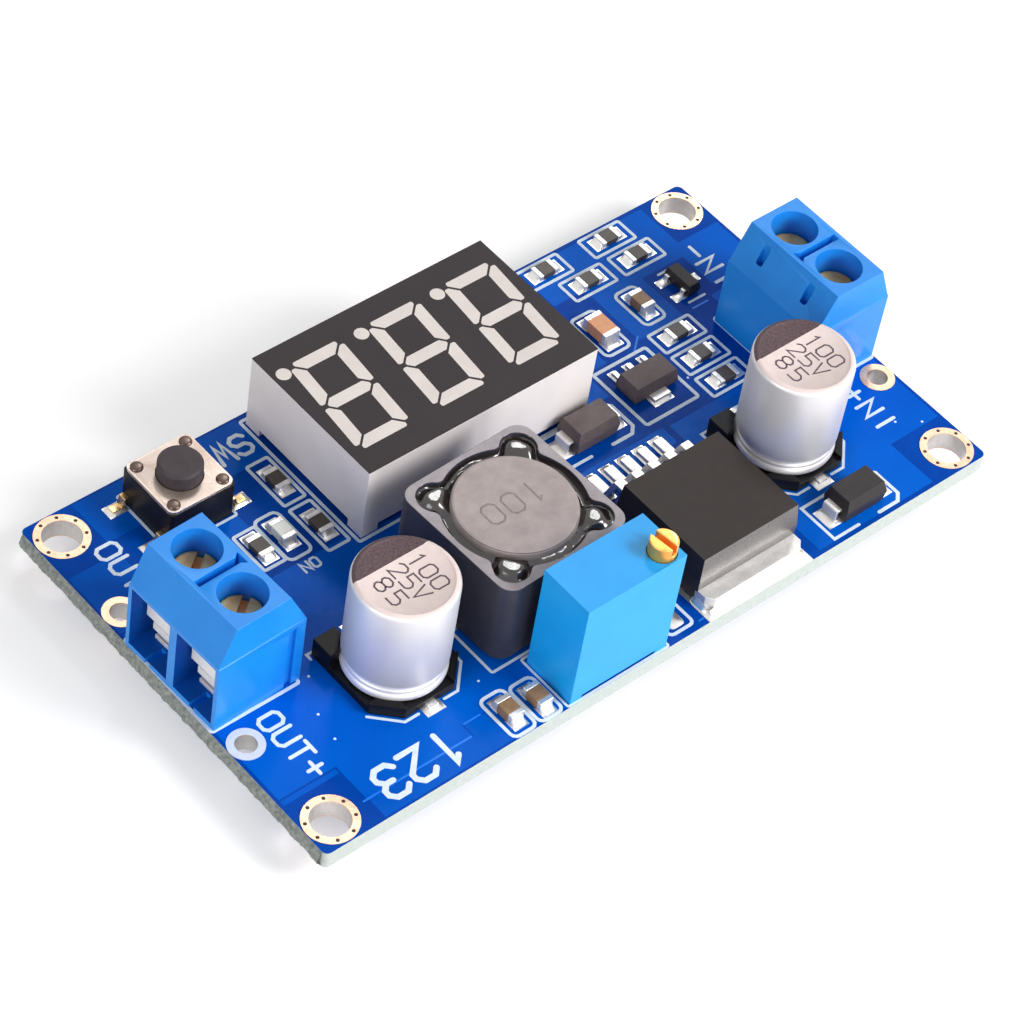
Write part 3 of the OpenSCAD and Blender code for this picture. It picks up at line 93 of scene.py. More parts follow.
def material(name, color, rough=0.4, metal=0.0, other=None, patch=2.0, grain=0.08,
             grain_depth=0.0, rough_vary=0.08, spec=0.5, stretch=(1, 1, 1), detail=4, edge_tint=None):
    """A procedural surface. patch and grain are the sizes in mm of its colour patches and of
    its texture, and grain_depth is how deep the texture is, in mm. The edge colour is laid on
    convex edges: on the button cover it is a painted highlight, on the trimmer screw lighter
    brass."""
    m = bpy.data.materials.new(name)
    m.use_nodes = True
    nt = m.node_tree
    b = nt.nodes["Principled BSDF"]
    b.inputs["Metallic"].default_value = metal
    b.inputs["Specular IOR Level"].default_value = spec
    coord = nt.nodes.new("ShaderNodeTexCoord")
    mapping = nt.nodes.new("ShaderNodeMapping")
    mapping.inputs["Scale"].default_value = stretch
    nt.links.new(coord.outputs["Object"], mapping.inputs["Vector"])

    def tex(size, det=detail):
        n = nt.nodes.new("ShaderNodeTexNoise")
        n.inputs["Scale"].default_value = 1 / (size * mm)
        n.inputs["Detail"].default_value = det
        n.inputs["Roughness"].default_value = 0.6
        nt.links.new(mapping.outputs["Vector"], n.inputs["Vector"])
        return n

    def spread(src, low, high, lo_in=0.3, hi_in=0.7):
        n = nt.nodes.new("ShaderNodeMapRange")
        n.inputs["From Min"].default_value = lo_in
        n.inputs["From Max"].default_value = hi_in
        n.inputs["To Min"].default_value = low
        n.inputs["To Max"].default_value = high
        nt.links.new(src, n.inputs["Value"])
        return n.outputs["Result"]

    other = other or darker(color)
    mix = nt.nodes.new("ShaderNodeMix")
    mix.data_type = "RGBA"
    mix.inputs["A"].default_value = color
    mix.inputs["B"].default_value = other
    nt.links.new(spread(tex(patch).outputs["Fac"], 0, 1), mix.inputs["Factor"])
    result = mix.outputs["Result"]
    # Convex edges take the edge colour: a painted highlight on the button cover
    if edge_tint:
        geo = nt.nodes.new("ShaderNodeNewGeometry")
        edge = spread(geo.outputs["Pointiness"], 0, 1, 0.52, 0.6)
        tinted_edge = nt.nodes.new("ShaderNodeMix")
        tinted_edge.data_type = "RGBA"
        nt.links.new(edge, tinted_edge.inputs["Factor"])
        nt.links.new(result, tinted_edge.inputs["A"])
        tinted_edge.inputs["B"].default_value = edge_tint
        result = tinted_edge.outputs["Result"]
    nt.links.new(result, b.inputs["Base Color"])
    fine = tex(grain, 3)
    least = max(SMOOTHEST, rough - rough_vary)
    nt.links.new(spread(fine.outputs["Fac"], least, rough + rough_vary), b.inputs["Roughness"])
    if grain_depth:
        bump = nt.nodes.new("ShaderNodeBump")
        bump.inputs["Distance"].default_value = grain_depth * mm
        nt.links.new(fine.outputs["Fac"], bump.inputs["Height"])
        nt.links.new(bump.outputs["Normal"], b.inputs["Normal"])
    return m


M = {
    "mask": material("solder_mask_dark", c255(0, 64, 160), 0.26, other=c255(0, 75, 174),
                     patch=6, grain=0.5, spec=0.03, rough_vary=0.05),
    "pour": material("solder_mask_over_copper", c255(0, 88, 194), 0.24, other=c255(0, 98, 206),
                     patch=9, grain=0.6, spec=0.03, rough_vary=0.05),
    "laminate": material("laminate_edge", c255(206, 212, 206), 0.7, other=c255(176, 186, 182),
                         patch=0.5, grain=0.12, grain_depth=0.02, stretch=(1, 1, 5)),
    "snapped": material("snapped_edge", c255(168, 172, 166), 0.85, other=c255(108, 116, 112),
                        patch=0.35, grain=0.1, grain_depth=0.05),
    "silk": material("silkscreen", c255(232, 242, 250), 0.6, other=c255(216, 230, 244),
                     patch=0.6, grain=0.06, grain_depth=0.003, spec=0.2),
    "tin": material("tin", c255(238, 236, 234), 0.38, 0.8, other=c255(216, 213, 210), patch=0.8,
                    grain=0.3, grain_depth=0.002, rough_vary=0.08),
    "solder": material("solder", c255(244, 242, 238), 0.32, 0.85, other=c255(222, 219, 215),
                       patch=0.9, grain=0.6, grain_depth=0.003, rough_vary=0.06),
    "ring": material("bare_copper", c255(240, 200, 172), 0.34, 1.0, other=c255(222, 178, 150),
                     patch=0.6, grain=0.12, grain_depth=0.004, rough_vary=0.12),
    "plating": material("hole_plating", c255(214, 210, 206), 0.35, 1.0, patch=0.4, grain=0.1,
                        grain_depth=0.006),
    "tinned_ring": material("tinned_ring", c255(240, 240, 240), 0.55, 0.4, patch=0.8, grain=0.2,
                            other=c255(226, 227, 230), grain_depth=0.003),
    "mask_mid": material("solder_mask_middle", c255(0, 84, 188), 0.24, other=c255(0, 94, 199),
                         patch=8, grain=0.6, spec=0.03, rough_vary=0.05),
    "track": material("solder_mask_track", c255(40, 130, 238), 0.24, other=c255(30, 116, 224),
                      patch=1, grain=0.4, spec=0.1, rough_vary=0.05),
    # Bronze-brown for the heads of the black plastic rivets: painted reflection
    "rivet": material("rivet_painted_reflection", c255(104, 84, 74), 0.24, 0.5, other=c255(84, 68, 62),
                      patch=0.3, grain=0.08, grain_depth=0.002),
    # Dark brown for the discs over the mounting rings' small holes: painted shade
    "via": material("ring_hole_painted_shade", c255(60, 46, 40), 0.6, patch=0.2, grain=0.05),
    "terminal": material("terminal_moulding", c255(28, 142, 234), 0.32, other=c255(23, 134, 226),
                         patch=3, grain=0.07, grain_depth=0.0015, spec=0.35, rough_vary=0.06),
    # Darker blue for the faces inside the wire chambers: painted shade
    "chamber": material("terminal_chamber_painted_shade", c255(10, 84, 176), 0.5, other=c255(8, 76, 166),
                        patch=3, grain=0.07, grain_depth=0.0015, spec=0.1),
    "steel": material("stamped_steel", c255(252, 250, 248), 0.42, 0.3, other=c255(236, 234, 231),
                      patch=0.5, grain=0.1, grain_depth=0.003, stretch=(1, 4, 1)),
    "zinc": material("yellow_zinc", c255(255, 222, 142), 0.34, 0.25, other=c255(250, 158, 72),
                     patch=1.3, grain=0.4, grain_depth=0.003, rough_vary=0.08),
    "shell": material("readout_shell", c255(240, 232, 228), 0.5, other=c255(232, 224, 220),
                      patch=5, grain=0.1, grain_depth=0.002, spec=0.3),
    "film": material("readout_film", c255(46, 39, 41), 0.5, other=c255(40, 34, 36), patch=7,
                     grain=0.06, grain_depth=0.001, spec=0.25, rough_vary=0.05),
    "segment": material("readout_segment", c255(222, 213, 208), 0.4, other=c255(212, 202, 197),
                        patch=2.4, grain=0.12, grain_depth=0.001, spec=0.3),
    "substrate": material("readout_board", c255(190, 196, 180), 0.6, patch=2, grain=0.2),
    "ferrite": material("ferrite_shield", c255(58, 57, 68), 0.42, other=c255(48, 47, 57),
                        patch=1.2, grain=0.08, grain_depth=0.005, spec=0.35),
    # Lighter copy of the ferrite for the shield's top faces: painted sheen
    "ferrite_top_painted_sheen": material("ferrite_painted_sheen", c255(172, 164, 168), 0.5, other=c255(154, 147, 151),
                            patch=0.9, grain=0.09, grain_depth=0.004, spec=0.3),
    "drum": material("ferrite_drum", c255(178, 165, 164), 0.5, other=c255(158, 146, 145),
                     patch=1.4, grain=0.09, grain_depth=0.005, spec=0.3),
    "adhesive": material("adhesive", c255(46, 34, 30), 0.16, other=c255(26, 19, 19), patch=0.9,
                         grain=0.7, grain_depth=0.015, spec=1.0, rough_vary=0.05),
    "winding": material("winding", c255(170, 96, 48), 0.4, 0.8, patch=0.5, grain=0.2),
    "can": material("can_aluminium", c255(232, 229, 230), 0.4, 0.35, other=c255(224, 221, 223),
                    patch=4, grain=0.07, grain_depth=0.0008, stretch=(1, 1, 0.2), rough_vary=0.04),
    "can_top": material("can_print", c255(234, 217, 213), 0.5, other=c255(226, 208, 204),
                        patch=0.8, grain=0.05, grain_depth=0.002, spec=0.3),
    "can_dark": material("can_dark_print", c255(104, 84, 88), 0.5, other=c255(62, 48, 52),
                         patch=0.12, grain=0.05, grain_depth=0.002, spec=0.3),
    "can_ink": material("can_ink", c255(84, 70, 78), 0.55, patch=0.3, grain=0.05),
    "black": material("black_moulding", c255(17, 15, 17), 0.42, other=c255(12, 11, 13), patch=1.5,
                      grain=0.07, grain_depth=0.003, spec=0.2),
    "faint_ink": material("faint_ink", c255(120, 106, 106), 0.55, patch=0.3, grain=0.05,
                          other=c255(146, 132, 132)),
    "package": material("epoxy_package", c255(44, 36, 33), 0.5, other=c255(38, 31, 28), patch=1.2,
                        grain=0.05, grain_depth=0.003, spec=0.3, rough_vary=0.07),
    # Lighter grey for the regulator body's front faces: painted reflection
    "package_front_painted_reflection": material("epoxy_front_painted_reflection", c255(96, 90, 88), 0.3, other=c255(84, 78, 76),
                              patch=2, grain=0.06, grain_depth=0.002, spec=0.8),
    "package_dark": material("dark_epoxy", c255(46, 41, 41), 0.48, other=c255(38, 34, 34),
                             patch=0.8, grain=0.05, grain_depth=0.003, spec=0.3),
    "package_light": material("pale_epoxy", c255(104, 92, 92), 0.5, other=c255(92, 81, 81),
                              patch=0.8, grain=0.05, grain_depth=0.003, spec=0.3),
    "trimmer": material("trimmer_moulding", c255(16, 164, 240), 0.36, other=c255(13, 155, 233),
                        patch=3, grain=0.08, grain_depth=0.002, spec=0.35, rough_vary=0.06),
    "brass": material("trimmer_brass", c255(250, 178, 72), 0.34, 0.7, other=c255(230, 146, 46),
                      patch=0.9, grain=0.15, grain_depth=0.003, edge_tint=c255(255, 226, 160)),
    # The cover's darker second colour, stretched into streaks, is painted reflection, and its
    # near-white edge colour is a painted highlight
    "cover": material("button_cover", c255(190, 164, 146), 0.34, 0.8, other=c255(124, 98, 82),
                      patch=3.2, grain=0.08, grain_depth=0.002, stretch=(1, 0.6, 1), detail=1,
                      edge_tint=c255(244, 238, 232)),
    "button": material("button_plunger", c255(68, 60, 63), 0.55, other=c255(58, 51, 54), patch=0.7,
                       grain=0.06, grain_depth=0.006, spec=0.3),
    "silver": material("silvered_leg", c255(238, 208, 158), 0.26, 1.0, other=c255(210, 172, 116),
                       patch=0.4, grain=0.1, grain_depth=0.004),
    "resistor": material("resistor_film", c255(74, 66, 58), 0.4, other=c255(58, 52, 46), patch=0.4,
                         grain=0.06, grain_depth=0.002),
    "brown": material("brown_ceramic", c255(150, 118, 84), 0.45, other=c255(128, 100, 70),
                      patch=0.4, grain=0.06, grain_depth=0.002),
    "tan": material("tan_ceramic", c255(228, 164, 120), 0.45, other=c255(214, 146, 102), patch=0.5,
                    grain=0.06, grain_depth=0.002),
    "lamp": material("lamp_resin", c255(244, 244, 234), 0.3, other=c255(232, 234, 222), patch=0.5,
                     grain=0.1),
}


# Pieces ---------------------------------------------------------------------

def add_modifiers(ob, bevel, angle, segments):
    if bevel:
        mod = ob.modifiers.new("edges", "BEVEL")
        mod.width = bevel * mm
        mod.segments = segments
        mod.limit_method = "ANGLE"
        mod.angle_limit = math.radians(angle)
        mod.use_clamp_overlap = True
        mod.harden_normals = True
        mod.miter_outer = "MITER_ARC"


def finish_mesh(mesh, smooth_angle):
    for p in mesh.polygons:
        p.use_smooth = True
    mesh.set_sharp_from_angle(angle=math.radians(smooth_angle))


def piece(name, bm, mats, body="board", bevel=0, angle=35, segments=2, smooth=35, replaces=()):
    """A new piece from a bmesh in metres, in the row frame."""
    mesh = bpy.data.meshes.new(name)
    bm.to_mesh(mesh)
    bm.free()
    for key in mats:
        mesh.materials.append(M[key])
    finish_mesh(mesh, smooth)
    ob = bpy.data.objects.new(name, mesh)
    scene.collection.objects.link(ob)
    add_modifiers(ob, bevel, angle, segments)
    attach(ob, body)
    if replaces:
        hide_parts(*replaces)
    return ob


WELD = 2e-7  # metres
FLAT_ANGLE = 0.4  # degrees


def welded(node):
    """A node's mesh as a bmesh whose triangles share their corners."""
    bm = bmesh.new()
    bm.from_mesh(nodes[node].data)
    bmesh.ops.remove_doubles(bm, verts=bm.verts, dist=WELD)
    return bm


def cad_mesh(node):
    """A node's mesh, welded and with its flat faces joined."""
    bm = welded(node)
    bmesh.ops.dissolve_limit(bm, angle_limit=math.radians(FLAT_ANGLE), verts=bm.verts,
                             edges=bm.edges)
    return bm


def islands(node):
    """The low and high corner of each separate solid of a node."""
    bm = welded(node)
    found, out = set(), []
    for v in bm.verts:
        if v.index in found:
            continue
        stack, pts = [v], []
        found.add(v.index)
        while stack:
            a = stack.pop()
            pts.append(a.co.copy())
            for e in a.link_edges:
                o = e.other_vert(a)
                if o.index not in found:
                    found.add(o.index)
                    stack.append(o)
        out.append((Vector([min(p[i] for p in pts) for i in range(3)]),
                    Vector([max(p[i] for p in pts) for i in range(3)])))
    bm.free()
    return out


def dress(node, mats, bevel=0.06, angle=30, segments=2, smooth=32, pick=None):
    """Stands a bevelled and shaded copy in for a CAD node. pick gives a face's material."""
    bm = cad_mesh(node)
    if pick:
        for f in bm.faces:
            f.material_index = pick(f.normal, f.calc_center_median())
    return piece(node + "_finish", bm, mats, body_of[node], bevel, angle, segments, smooth,
                 (node,))


# Flat prints ----------------------------------------------------------------

MITRE_MIN_DOT, MITRE_MAX = 0.35, 2.2  # how far a sharp corner may reach out
END_STEPS = (36, 72, 108, 144)  # degrees round the end of a line
TINY = 1e-6


def ribbon(bm, pts, width, closed=False):
    """A flat line of a width along 2D points, with mitred corners and round ends."""
    n = len(pts)
    h = width / 2
    pts = [Vector((p[0], p[1])) for p in pts]
    left, right = [], []
    for i in range(n):
        a = pts[i - 1] if (i or closed) else None
        c = pts[(i + 1) % n] if (i < n - 1 or closed) else None
        d0 = (pts[i] - a).normalized() if a is not None else None
        d1 = (c - pts[i]).normalized() if c is not None else None
        d0 = d0 or d1
        d1 = d1 or d0
        n0, n1 = Vector((-d0.y, d0.x)), Vector((-d1.y, d1.x))
        m = (n0 + n1)
        m = m.normalized() if m.length > TINY else n0
        k = min(1 / max(m.dot(n0), MITRE_MIN_DOT), MITRE_MAX)
        left.append(pts[i] + m * h * k)
        right.append(pts[i] - m * h * k)
    vl = [bm.verts.new((p.x, p.y, 0)) for p in left]
    vr = [bm.verts.new((p.x, p.y, 0)) for p in right]
    for i in range(n if closed else n - 1):
        j = (i + 1) % n
        bm.faces.new((vr[i], vr[j], vl[j], vl[i]))
    if not closed:
        for i, inner, s in ((0, pts[1], 1), (n - 1, pts[-2], -1)):
            d = (pts[i] - inner).normalized()
            side = Vector((-d.y, d.x))
            a, b = (vl[i], vr[i]) if s == -1 else (vr[i], vl[i])
            fan = []
            for t in map(math.radians, END_STEPS):
                q = pts[i] + side * h * math.cos(t) + d * h * math.sin(t)
                fan.append(bm.verts.new((q.x, q.y, 0)))
            bm.faces.new([a] + fan + [b])


def plate(bm, pts, index=0, holes=()):
    """A flat area inside a list of points, with round holes given as (x, y, r)."""
    loops = [[Vector((x, y, 0)) for x, y in pts]]
    for x, y, r in holes:
        turns = [t * math.pi / 20 for t in range(40)]
        loops.append([Vector((x + r * math.cos(t), y - r * math.sin(t), 0)) for t in turns])
    verts = [bm.verts.new(p) for line in loops for p in line]
    for tri in geometry.tessellate_polygon(loops):
        f = bm.faces.new([verts[i] for i in tri])
        f.material_index = index


def disc(bm, x, y, r, n):
    bm.faces.new([bm.verts.new((x + r * math.cos(2 * math.pi * i / n),
                                y + r * math.sin(2 * math.pi * i / n), 0)) for i in range(n)])


LEVELS, LEVEL_DROP = 5, 0.12  # heights of crossing strokes, and their step as a share


def raise_print(bm, z, thick):
    """Turns flat faces drawn in mm at z = 0 into a thin solid at a height in metres."""
    for f in bm.faces:
        f.normal_update()
        if f.normal.z < 0:
            f.normal_flip()
    # Crossing strokes get tops that differ a little, so no two of them share a plane
    level, count = {}, 0
    for f in bm.faces:
        if f in level:
            continue
        step, group = count % LEVELS, [f]
        count += 1
        while group:
            g = group.pop()
            if g not in level:
                level[g] = step
                group += [n for e in g.edges for n in e.link_faces]
    for v in bm.verts:
        v.co.z = -level[v.link_faces[0]] if v.link_faces else 0
    top = bmesh.ops.extrude_face_region(bm, geom=list(bm.faces))
    up = {g for g in top["geom"] if isinstance(g, bmesh.types.BMVert)}
    for v in bm.verts:
        v.co.z = thick * (1 + LEVEL_DROP * v.co.z) if v in up else 0
    for v in bm.verts:
        v.co = Vector((v.co.x * mm, v.co.y * mm, v.co.z + z))


CORNER_STEPS = 3


def rounded(x0, x1, y0, y1, r):
    """Points of a rectangle with rounded corners."""
    out = []
    for cx, cy, a in ((x1 - r, y1 - r, 0), (x0 + r, y1 - r, 90),
                      (x0 + r, y0 + r, 180), (x1 - r, y0 + r, 270)):
        for i in range(CORNER_STEPS + 1):
            t = math.radians(a + 90 * i / CORNER_STEPS)
            out.append((cx + r * math.cos(t), cy + r * math.sin(t)))
    return out


# Strokes of each letter on a grid 4 wide and 6 high
GLYPHS = {
    "O": [[(1, 0), (3, 0), (4, 1), (4, 5), (3, 6), (1, 6), (0, 5), (0, 1), (1, 0)]],
    "U": [[(0, 6), (0, 1), (1, 0), (3, 0), (4, 1), (4, 6)]],
    "T": [[(0, 6), (4, 6)], [(2, 5.7), (2, 0)]],
    "I": [[(2, 6), (2, 0)]],
    "N": [[(0, 0), (0, 6), (4, 0), (4, 6)]],
    "S": [[(4, 5), (3, 6), (1, 6), (0, 5), (0, 4), (1, 3), (3, 3), (4, 2), (4, 1), (3, 0), (1, 0),
           (0, 1)]],
    "W": [[(0, 6), (1, 0), (2, 4), (3, 0), (4, 6)]],
    "V": [[(0, 6), (2, 0), (4, 6)]],
    "+": [[(0, 3), (1.8, 3)], [(2.2, 3), (4, 3)], [(2, 1), (2, 5)]],
    "-": [[(0, 3), (4, 3)]],
    "1": [[(1, 5), (2, 6), (2, 0)]],
    "2": [[(0, 5), (1, 6), (3, 6), (4, 5), (4, 4), (0, 0), (4, 0)]],
    "3": [[(0, 5), (1, 6), (3, 6), (4, 5), (4, 4), (3, 3), (4, 2), (4, 1), (3, 0), (1, 0), (0, 1)],
          [(1.6, 3), (2.8, 3)]],
    "5": [[(4, 6), (0, 6), (0, 3.4), (3, 3.4), (4, 2.4), (4, 1), (3, 0), (0, 0)]],
    "8": [[(1, 3), (3, 3), (4, 2), (4, 1), (3, 0), (1, 0), (0, 1), (0, 2), (1, 3), (0, 4), (0, 5),
           (1, 6), (3, 6), (4, 5), (4, 4), (3, 3)]],
}
GLYPHS["0"] = GLYPHS["O"]


def letters(bm, text, at, height, turn, width, pitch):
    """Writes text in strokes. at is the first letter's lower left corner in mm, turn the
    reading direction in degrees and pitch the distance between letters."""
    u = height / 6
    c, s = math.cos(math.radians(turn)), math.sin(math.radians(turn))
    for k, ch in enumerate(text):
        for line in GLYPHS[ch]:
            pts = []
            closed = line[0] == line[-1]
            for gx, gy in (line[:-1] if closed else line):
                x, y = k * pitch + gx * u, gy * u
                pts.append((at[0] + c * x - s * y, at[1] + s * x + c * y))
            ribbon(bm, pts, width, closed)


# Circuit board --------------------------------------------------------------

board_hi = Vector(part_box("circuit_board")[1])
BX, BY = board_hi.x / mm, board_hi.y / mm
HOLE_X, HOLE_Y = 30.8, 15.75
WIRE_X, WIRE_Y, WIRE_PITCH = 31.55, 0.2, 14.7


def board_face(n, p):
    if n.z > 0.5 or n.z < -0.5:
        return 0
    if abs(p.x) < board_hi.x - 0.3 * mm and abs(p.y) < board_hi.y - 0.3 * mm:
        return 2
    return 1


dress("circuit_board", ["mask", "laminate", "plating"], bevel=0.03, angle=60, pick=board_face)
dress("mounting_rings", ["ring"], bevel=0)
dress("wire_rings", ["tinned_ring", "ring"], bevel=0,
      pick=lambda n, p: 1 if p.x < 0 < p.y or p.x > 0 > p.y else 0)

# The left end was snapped off along a scored line: a rough strip a little proud of the board
SNAP_OUT, SNAP_ROUGH = 0.34, 0.22  # mm that the strip stands out, and how much that varies
SNAP_COARSE, SNAP_FINE = 1400, 4200  # sizes of its lumps, per metre
SNAP_SHORT, SNAP_SKIN = 0.4, 0.02  # mm left free at its ends, and above and below it
bm = bmesh.new()
rows, cols = 9, 220
grid = []
for i in range(cols + 1):
    y = -board_hi.y + SNAP_SHORT * mm + 2 * (board_hi.y - SNAP_SHORT * mm) * i / cols
    line = []
    for j in range(rows + 1):
        t = j / rows
        z = SNAP_SKIN * mm + (TOP - 2 * SNAP_SKIN * mm) * t
        mid = 1 - abs(2 * t - 1) ** 1.6
        n = (noise.noise(Vector((y * SNAP_COARSE, z * SNAP_COARSE, 3)))
             + 0.6 * noise.noise(Vector((y * SNAP_FINE, z * SNAP_FINE, 9))))
        out = 0.01 + mid * (SNAP_OUT + SNAP_ROUGH * n)
        line.append(bm.verts.new((-board_hi.x - out * mm, y, z)))
    grid.append(line)
for i in range(cols):
    for j in range(rows):
        bm.faces.new((grid[i][j], grid[i][j + 1], grid[i + 1][j + 1], grid[i + 1][j]))
inner = [(bm.verts.new((-board_hi.x, line[0].co.y, line[0].co.z)),
          bm.verts.new((-board_hi.x, line[-1].co.y, line[-1].co.z))) for line in grid]
for i in range(cols):
    bm.faces.new((grid[i][0], grid[i + 1][0], inner[i + 1][0], inner[i][0]))
    bm.faces.new((grid[i + 1][-1], grid[i][-1], inner[i][1], inner[i + 1][1]))
piece("snapped_edge", bm, ["snapped"], smooth=60)

# Copper under the mask: the large areas are a lighter blue and the plain mask a darker one
wires = [(x * WIRE_X, WIRE_Y + y * WIRE_PITCH / 2, 1.0) for x in (-1, 1) for y in (-1, 1)]
bm = bmesh.new()
plate(bm, [(-32.7, -12.35), (-27.6, -12.35), (-27.6, -15.8), (-17.9, -15.8), (-17.9, -14.7),
           (-0.4, -14.7), (-0.4, 1.9), (-13.2, 3.9), (-24, 3.9), (-24, 5.8), (-32.7, 5.8)],
      0, [wires[0]])
plate(bm, [(-32.8, 5.95), (-28.3, 5.95), (-28.3, 12.2), (-32.8, 12.2)], 1, [wires[1]])
plate(bm, [(-20.9, 8.7), (-18.9, 8.7), (-18.9, 10.3), (-20.9, 10.3)], 0)
plate(bm, [(-27.5, -17.8), (-10.6, -17.8), (-10.6, -14.8), (-17.8, -14.8), (-17.8, -15.95),
           (-27.5, -15.95)], 1)
plate(bm, [(-32.7, -12.95), (-27.75, -12.95), (-27.75, -12.5), (-32.7, -12.5)], 1)
plate(bm, [(-28.4, 13.4), (-13.2, 13.4), (-13.2, 17.8), (-28.4, 17.8)], 1)
plate(bm, [(1.8, -13.2), (3, -13.2), (3, -3.2), (13.6, -3.2), (13.6, -1.4), (1.8, -1.4)], 0)
plate(bm, [(15.2, -17.6), (27.4, -17.6), (27.4, -12.9), (32.7, -12.9), (32.7, 7.1), (26.6, 7.1),
           (26.6, -1.6), (14.2, -1.6), (14.2, -13), (15.2, -13)], 0, wires[2:3])
plate(bm, [(10.2, 3.4), (12.4, 3.4), (12.4, 6.2), (14.6, 6.2), (14.6, 17.5), (10.2, 17.5)], 0)
plate(bm, [(27.6, 8), (32.7, 8), (32.7, 13), (28.4, 13), (28.4, 17.6), (15.2, 17.6), (15.2, 13.2),
           (18.4, 13.2), (18.4, 6.6), (23.2, 6.6), (23.2, 11.6), (27.6, 11.6)], 0)
raise_print(bm, TOP, 0.01 * mm)
piece("copper_areas", bm, ["pour", "mask_mid"], bevel=0)

# Narrow tracks under the mask
TRACK_W, TENTED_R = 0.16, 0.11
bm = bmesh.new()
for line in ([(-27.9, -15.87), (-18.0, -15.87)], [(-17.7, -14.7), (-16.2, -14.7)],
             [(11.4, -17.4), (2.9, -17.4)],
             [(14.4, -14), (15.4, -13), (15.4, -11.8)], [(18.6, 7), (16.9, 5.6)],
             [(24.4, 6.8), (26, 6.8)]):
    ribbon(bm, line, TRACK_W)
raise_print(bm, TOP, 0.016 * mm)
piece("mask_tracks", bm, ["track"], bevel=0)

# Vias: small plugged holes that show as light dots
bm = bmesh.new()
for x, y in ((-25.7, -8), (-24.1, -4.9), (-14.3, -12.3), (-26.1, -10.4), (-22.5, -3.6), (1.2, -1.4),
             (3.4, -1.9), (31.2, -12.6), (29.4, -11.4), (26, 14.6), (22.6, 6.5), (18.9, 1.4)):
    disc(bm, x, y, TENTED_R, n=12)
raise_print(bm, TOP, 0.02 * mm)
piece("tented_vias", bm, ["silk"], bevel=0)

# Dark discs where the small plated holes in each mounting ring are, in mm: painted shade of the
# holes, which aren't cut
RING_VIA_OUT, RING_VIA_R, RING_VIAS = 1.85, 0.145, 8
bm = bmesh.new()
for sx in (-1, 1):
    for sy in (-1, 1):
        for k in range(RING_VIAS):
            a = math.radians(k * 360 / RING_VIAS + 22)
            disc(bm, sx * HOLE_X + RING_VIA_OUT * math.cos(a),
                 sy * HOLE_Y + RING_VIA_OUT * math.sin(a), RING_VIA_R, n=14)
raise_print(bm, TOP, 0.035 * mm)
piece("ring_via_dots", bm, ["via"], bevel=0)

# Silkscreen -----------------------------------------------------------------

bm = bmesh.new()
LINE_W = 0.27
EDGE_GAP = 0.15  # mm that a frame keeps from the board's long edges
LAND_FAR, LAND_OFF = 2.2 * mm, 0.3 * mm  # how far along and across a chip part's own land lies


def frame_line(x0, x1, y0, y1, r, w=LINE_W):
    ribbon(bm, rounded(x0, x1, y0, y1, r), w, True)


def grown(lo, hi, left, right, front, back):
    """x0, x1, y0, y1 in mm of a box in metres, moved out on its four sides."""
    return lo[0] / mm - left, hi[0] / mm + right, lo[1] / mm - front, hi[1] / mm + back


def is_own(d):
    """Whether a land this far from a chip part's middle is one of the part's own."""
    along, across = max(abs(d.x), abs(d.y)), min(abs(d.x), abs(d.y))
    return along < LAND_FAR and across < LAND_OFF


def chip_boxes():
    """A silk frame round each chip part and its lands."""
    lands = islands("solder_lands")
    for node, r, grow in (("chip_resistors", 0.15, 0.32), ("ceramic_capacitors", 0.5, 0.42),
                          ("filter_capacitor", 0.5, 0.42), ("indicator_lamp", 0.5, 0.42)):
        for lo, hi in islands(node):
            mid = (lo + hi) / 2
            both = [(lo, hi)] + [(a, b) for a, b in lands if is_own((a + b) / 2 - mid)]
            low = [min(a[k] for a, b in both) for k in (0, 1)]
            high = [max(b[k] for a, b in both) for k in (0, 1)]
            x0, x1, y0, y1 = grown(low, high, grow, grow, grow, grow)
            if node == "chip_resistors" and -14 < x1 < 0:
                # The two left resistors share a wall between their frames
                y0, y1 = (8.8, 13.45) if mid.y > 8 * mm else (3.5, 8.25)
            if node == "chip_resistors" and x0 > 14:
                x0, x1, y0, y1 = x0 - 0.25, x1 + 0.25, y0 - 0.12, y1 + 0.12
            if node == "indicator_lamp":
                y0, y1 = y0 - 0.4, y1 + 0.1
            frame_line(x0, x1, max(y0, -BY + EDGE_GAP), min(y1, BY - EDGE_GAP), r)


chip_boxes()
# Screw terminals
frame_line(-BX + 0.12, -25.0, -4.95, 5.35, 0.2)
frame_line(25.0, BX - 0.12, -5.3, 5.0, 0.2)
# Switch
lo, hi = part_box("button_base")
frame_line(-25.2, -18.9, *grown(lo, hi, 0, 0, 0.22, 0.2)[2:], 0.15, 0.22)
# Readout and inductor
frame_line(-13.05, 9.95, 2.9, 17.4, 0.15)
lo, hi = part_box("inductor_shield")
frame_line(*grown(lo, hi, 0.2, 0.2, 0.2, 0.2), 0.15, 0.24)
# Trimmer
frame_line(-10.5, -0.62, -17.88, -12.6, 0.15, 0.2)
# Capacitors: the octagon of the base, drawn a little larger
for node in ("output_capacitor_base", "input_capacitor_base"):
    lo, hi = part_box(node)
    x0, x1, y0, y1 = grown(lo, hi, 0.22, 0.22, 0.22, 0.22)
    mid = (x0 + x1) / 2
    c = 1.95  # of each cut corner
    ribbon(bm, [(mid - 1.2, y0), (x0 + c, y0), (x0, y0 + c)], 0.22)
    ribbon(bm, [(x0, y1 - 0.5), (x0, y1), (mid - 1.2, y1)], 0.22)
    ribbon(bm, [(mid + 1.2, y0), (x1 - c, y0), (x1, y0 + c), (x1, y1), (mid + 1.2, y1)], 0.22)
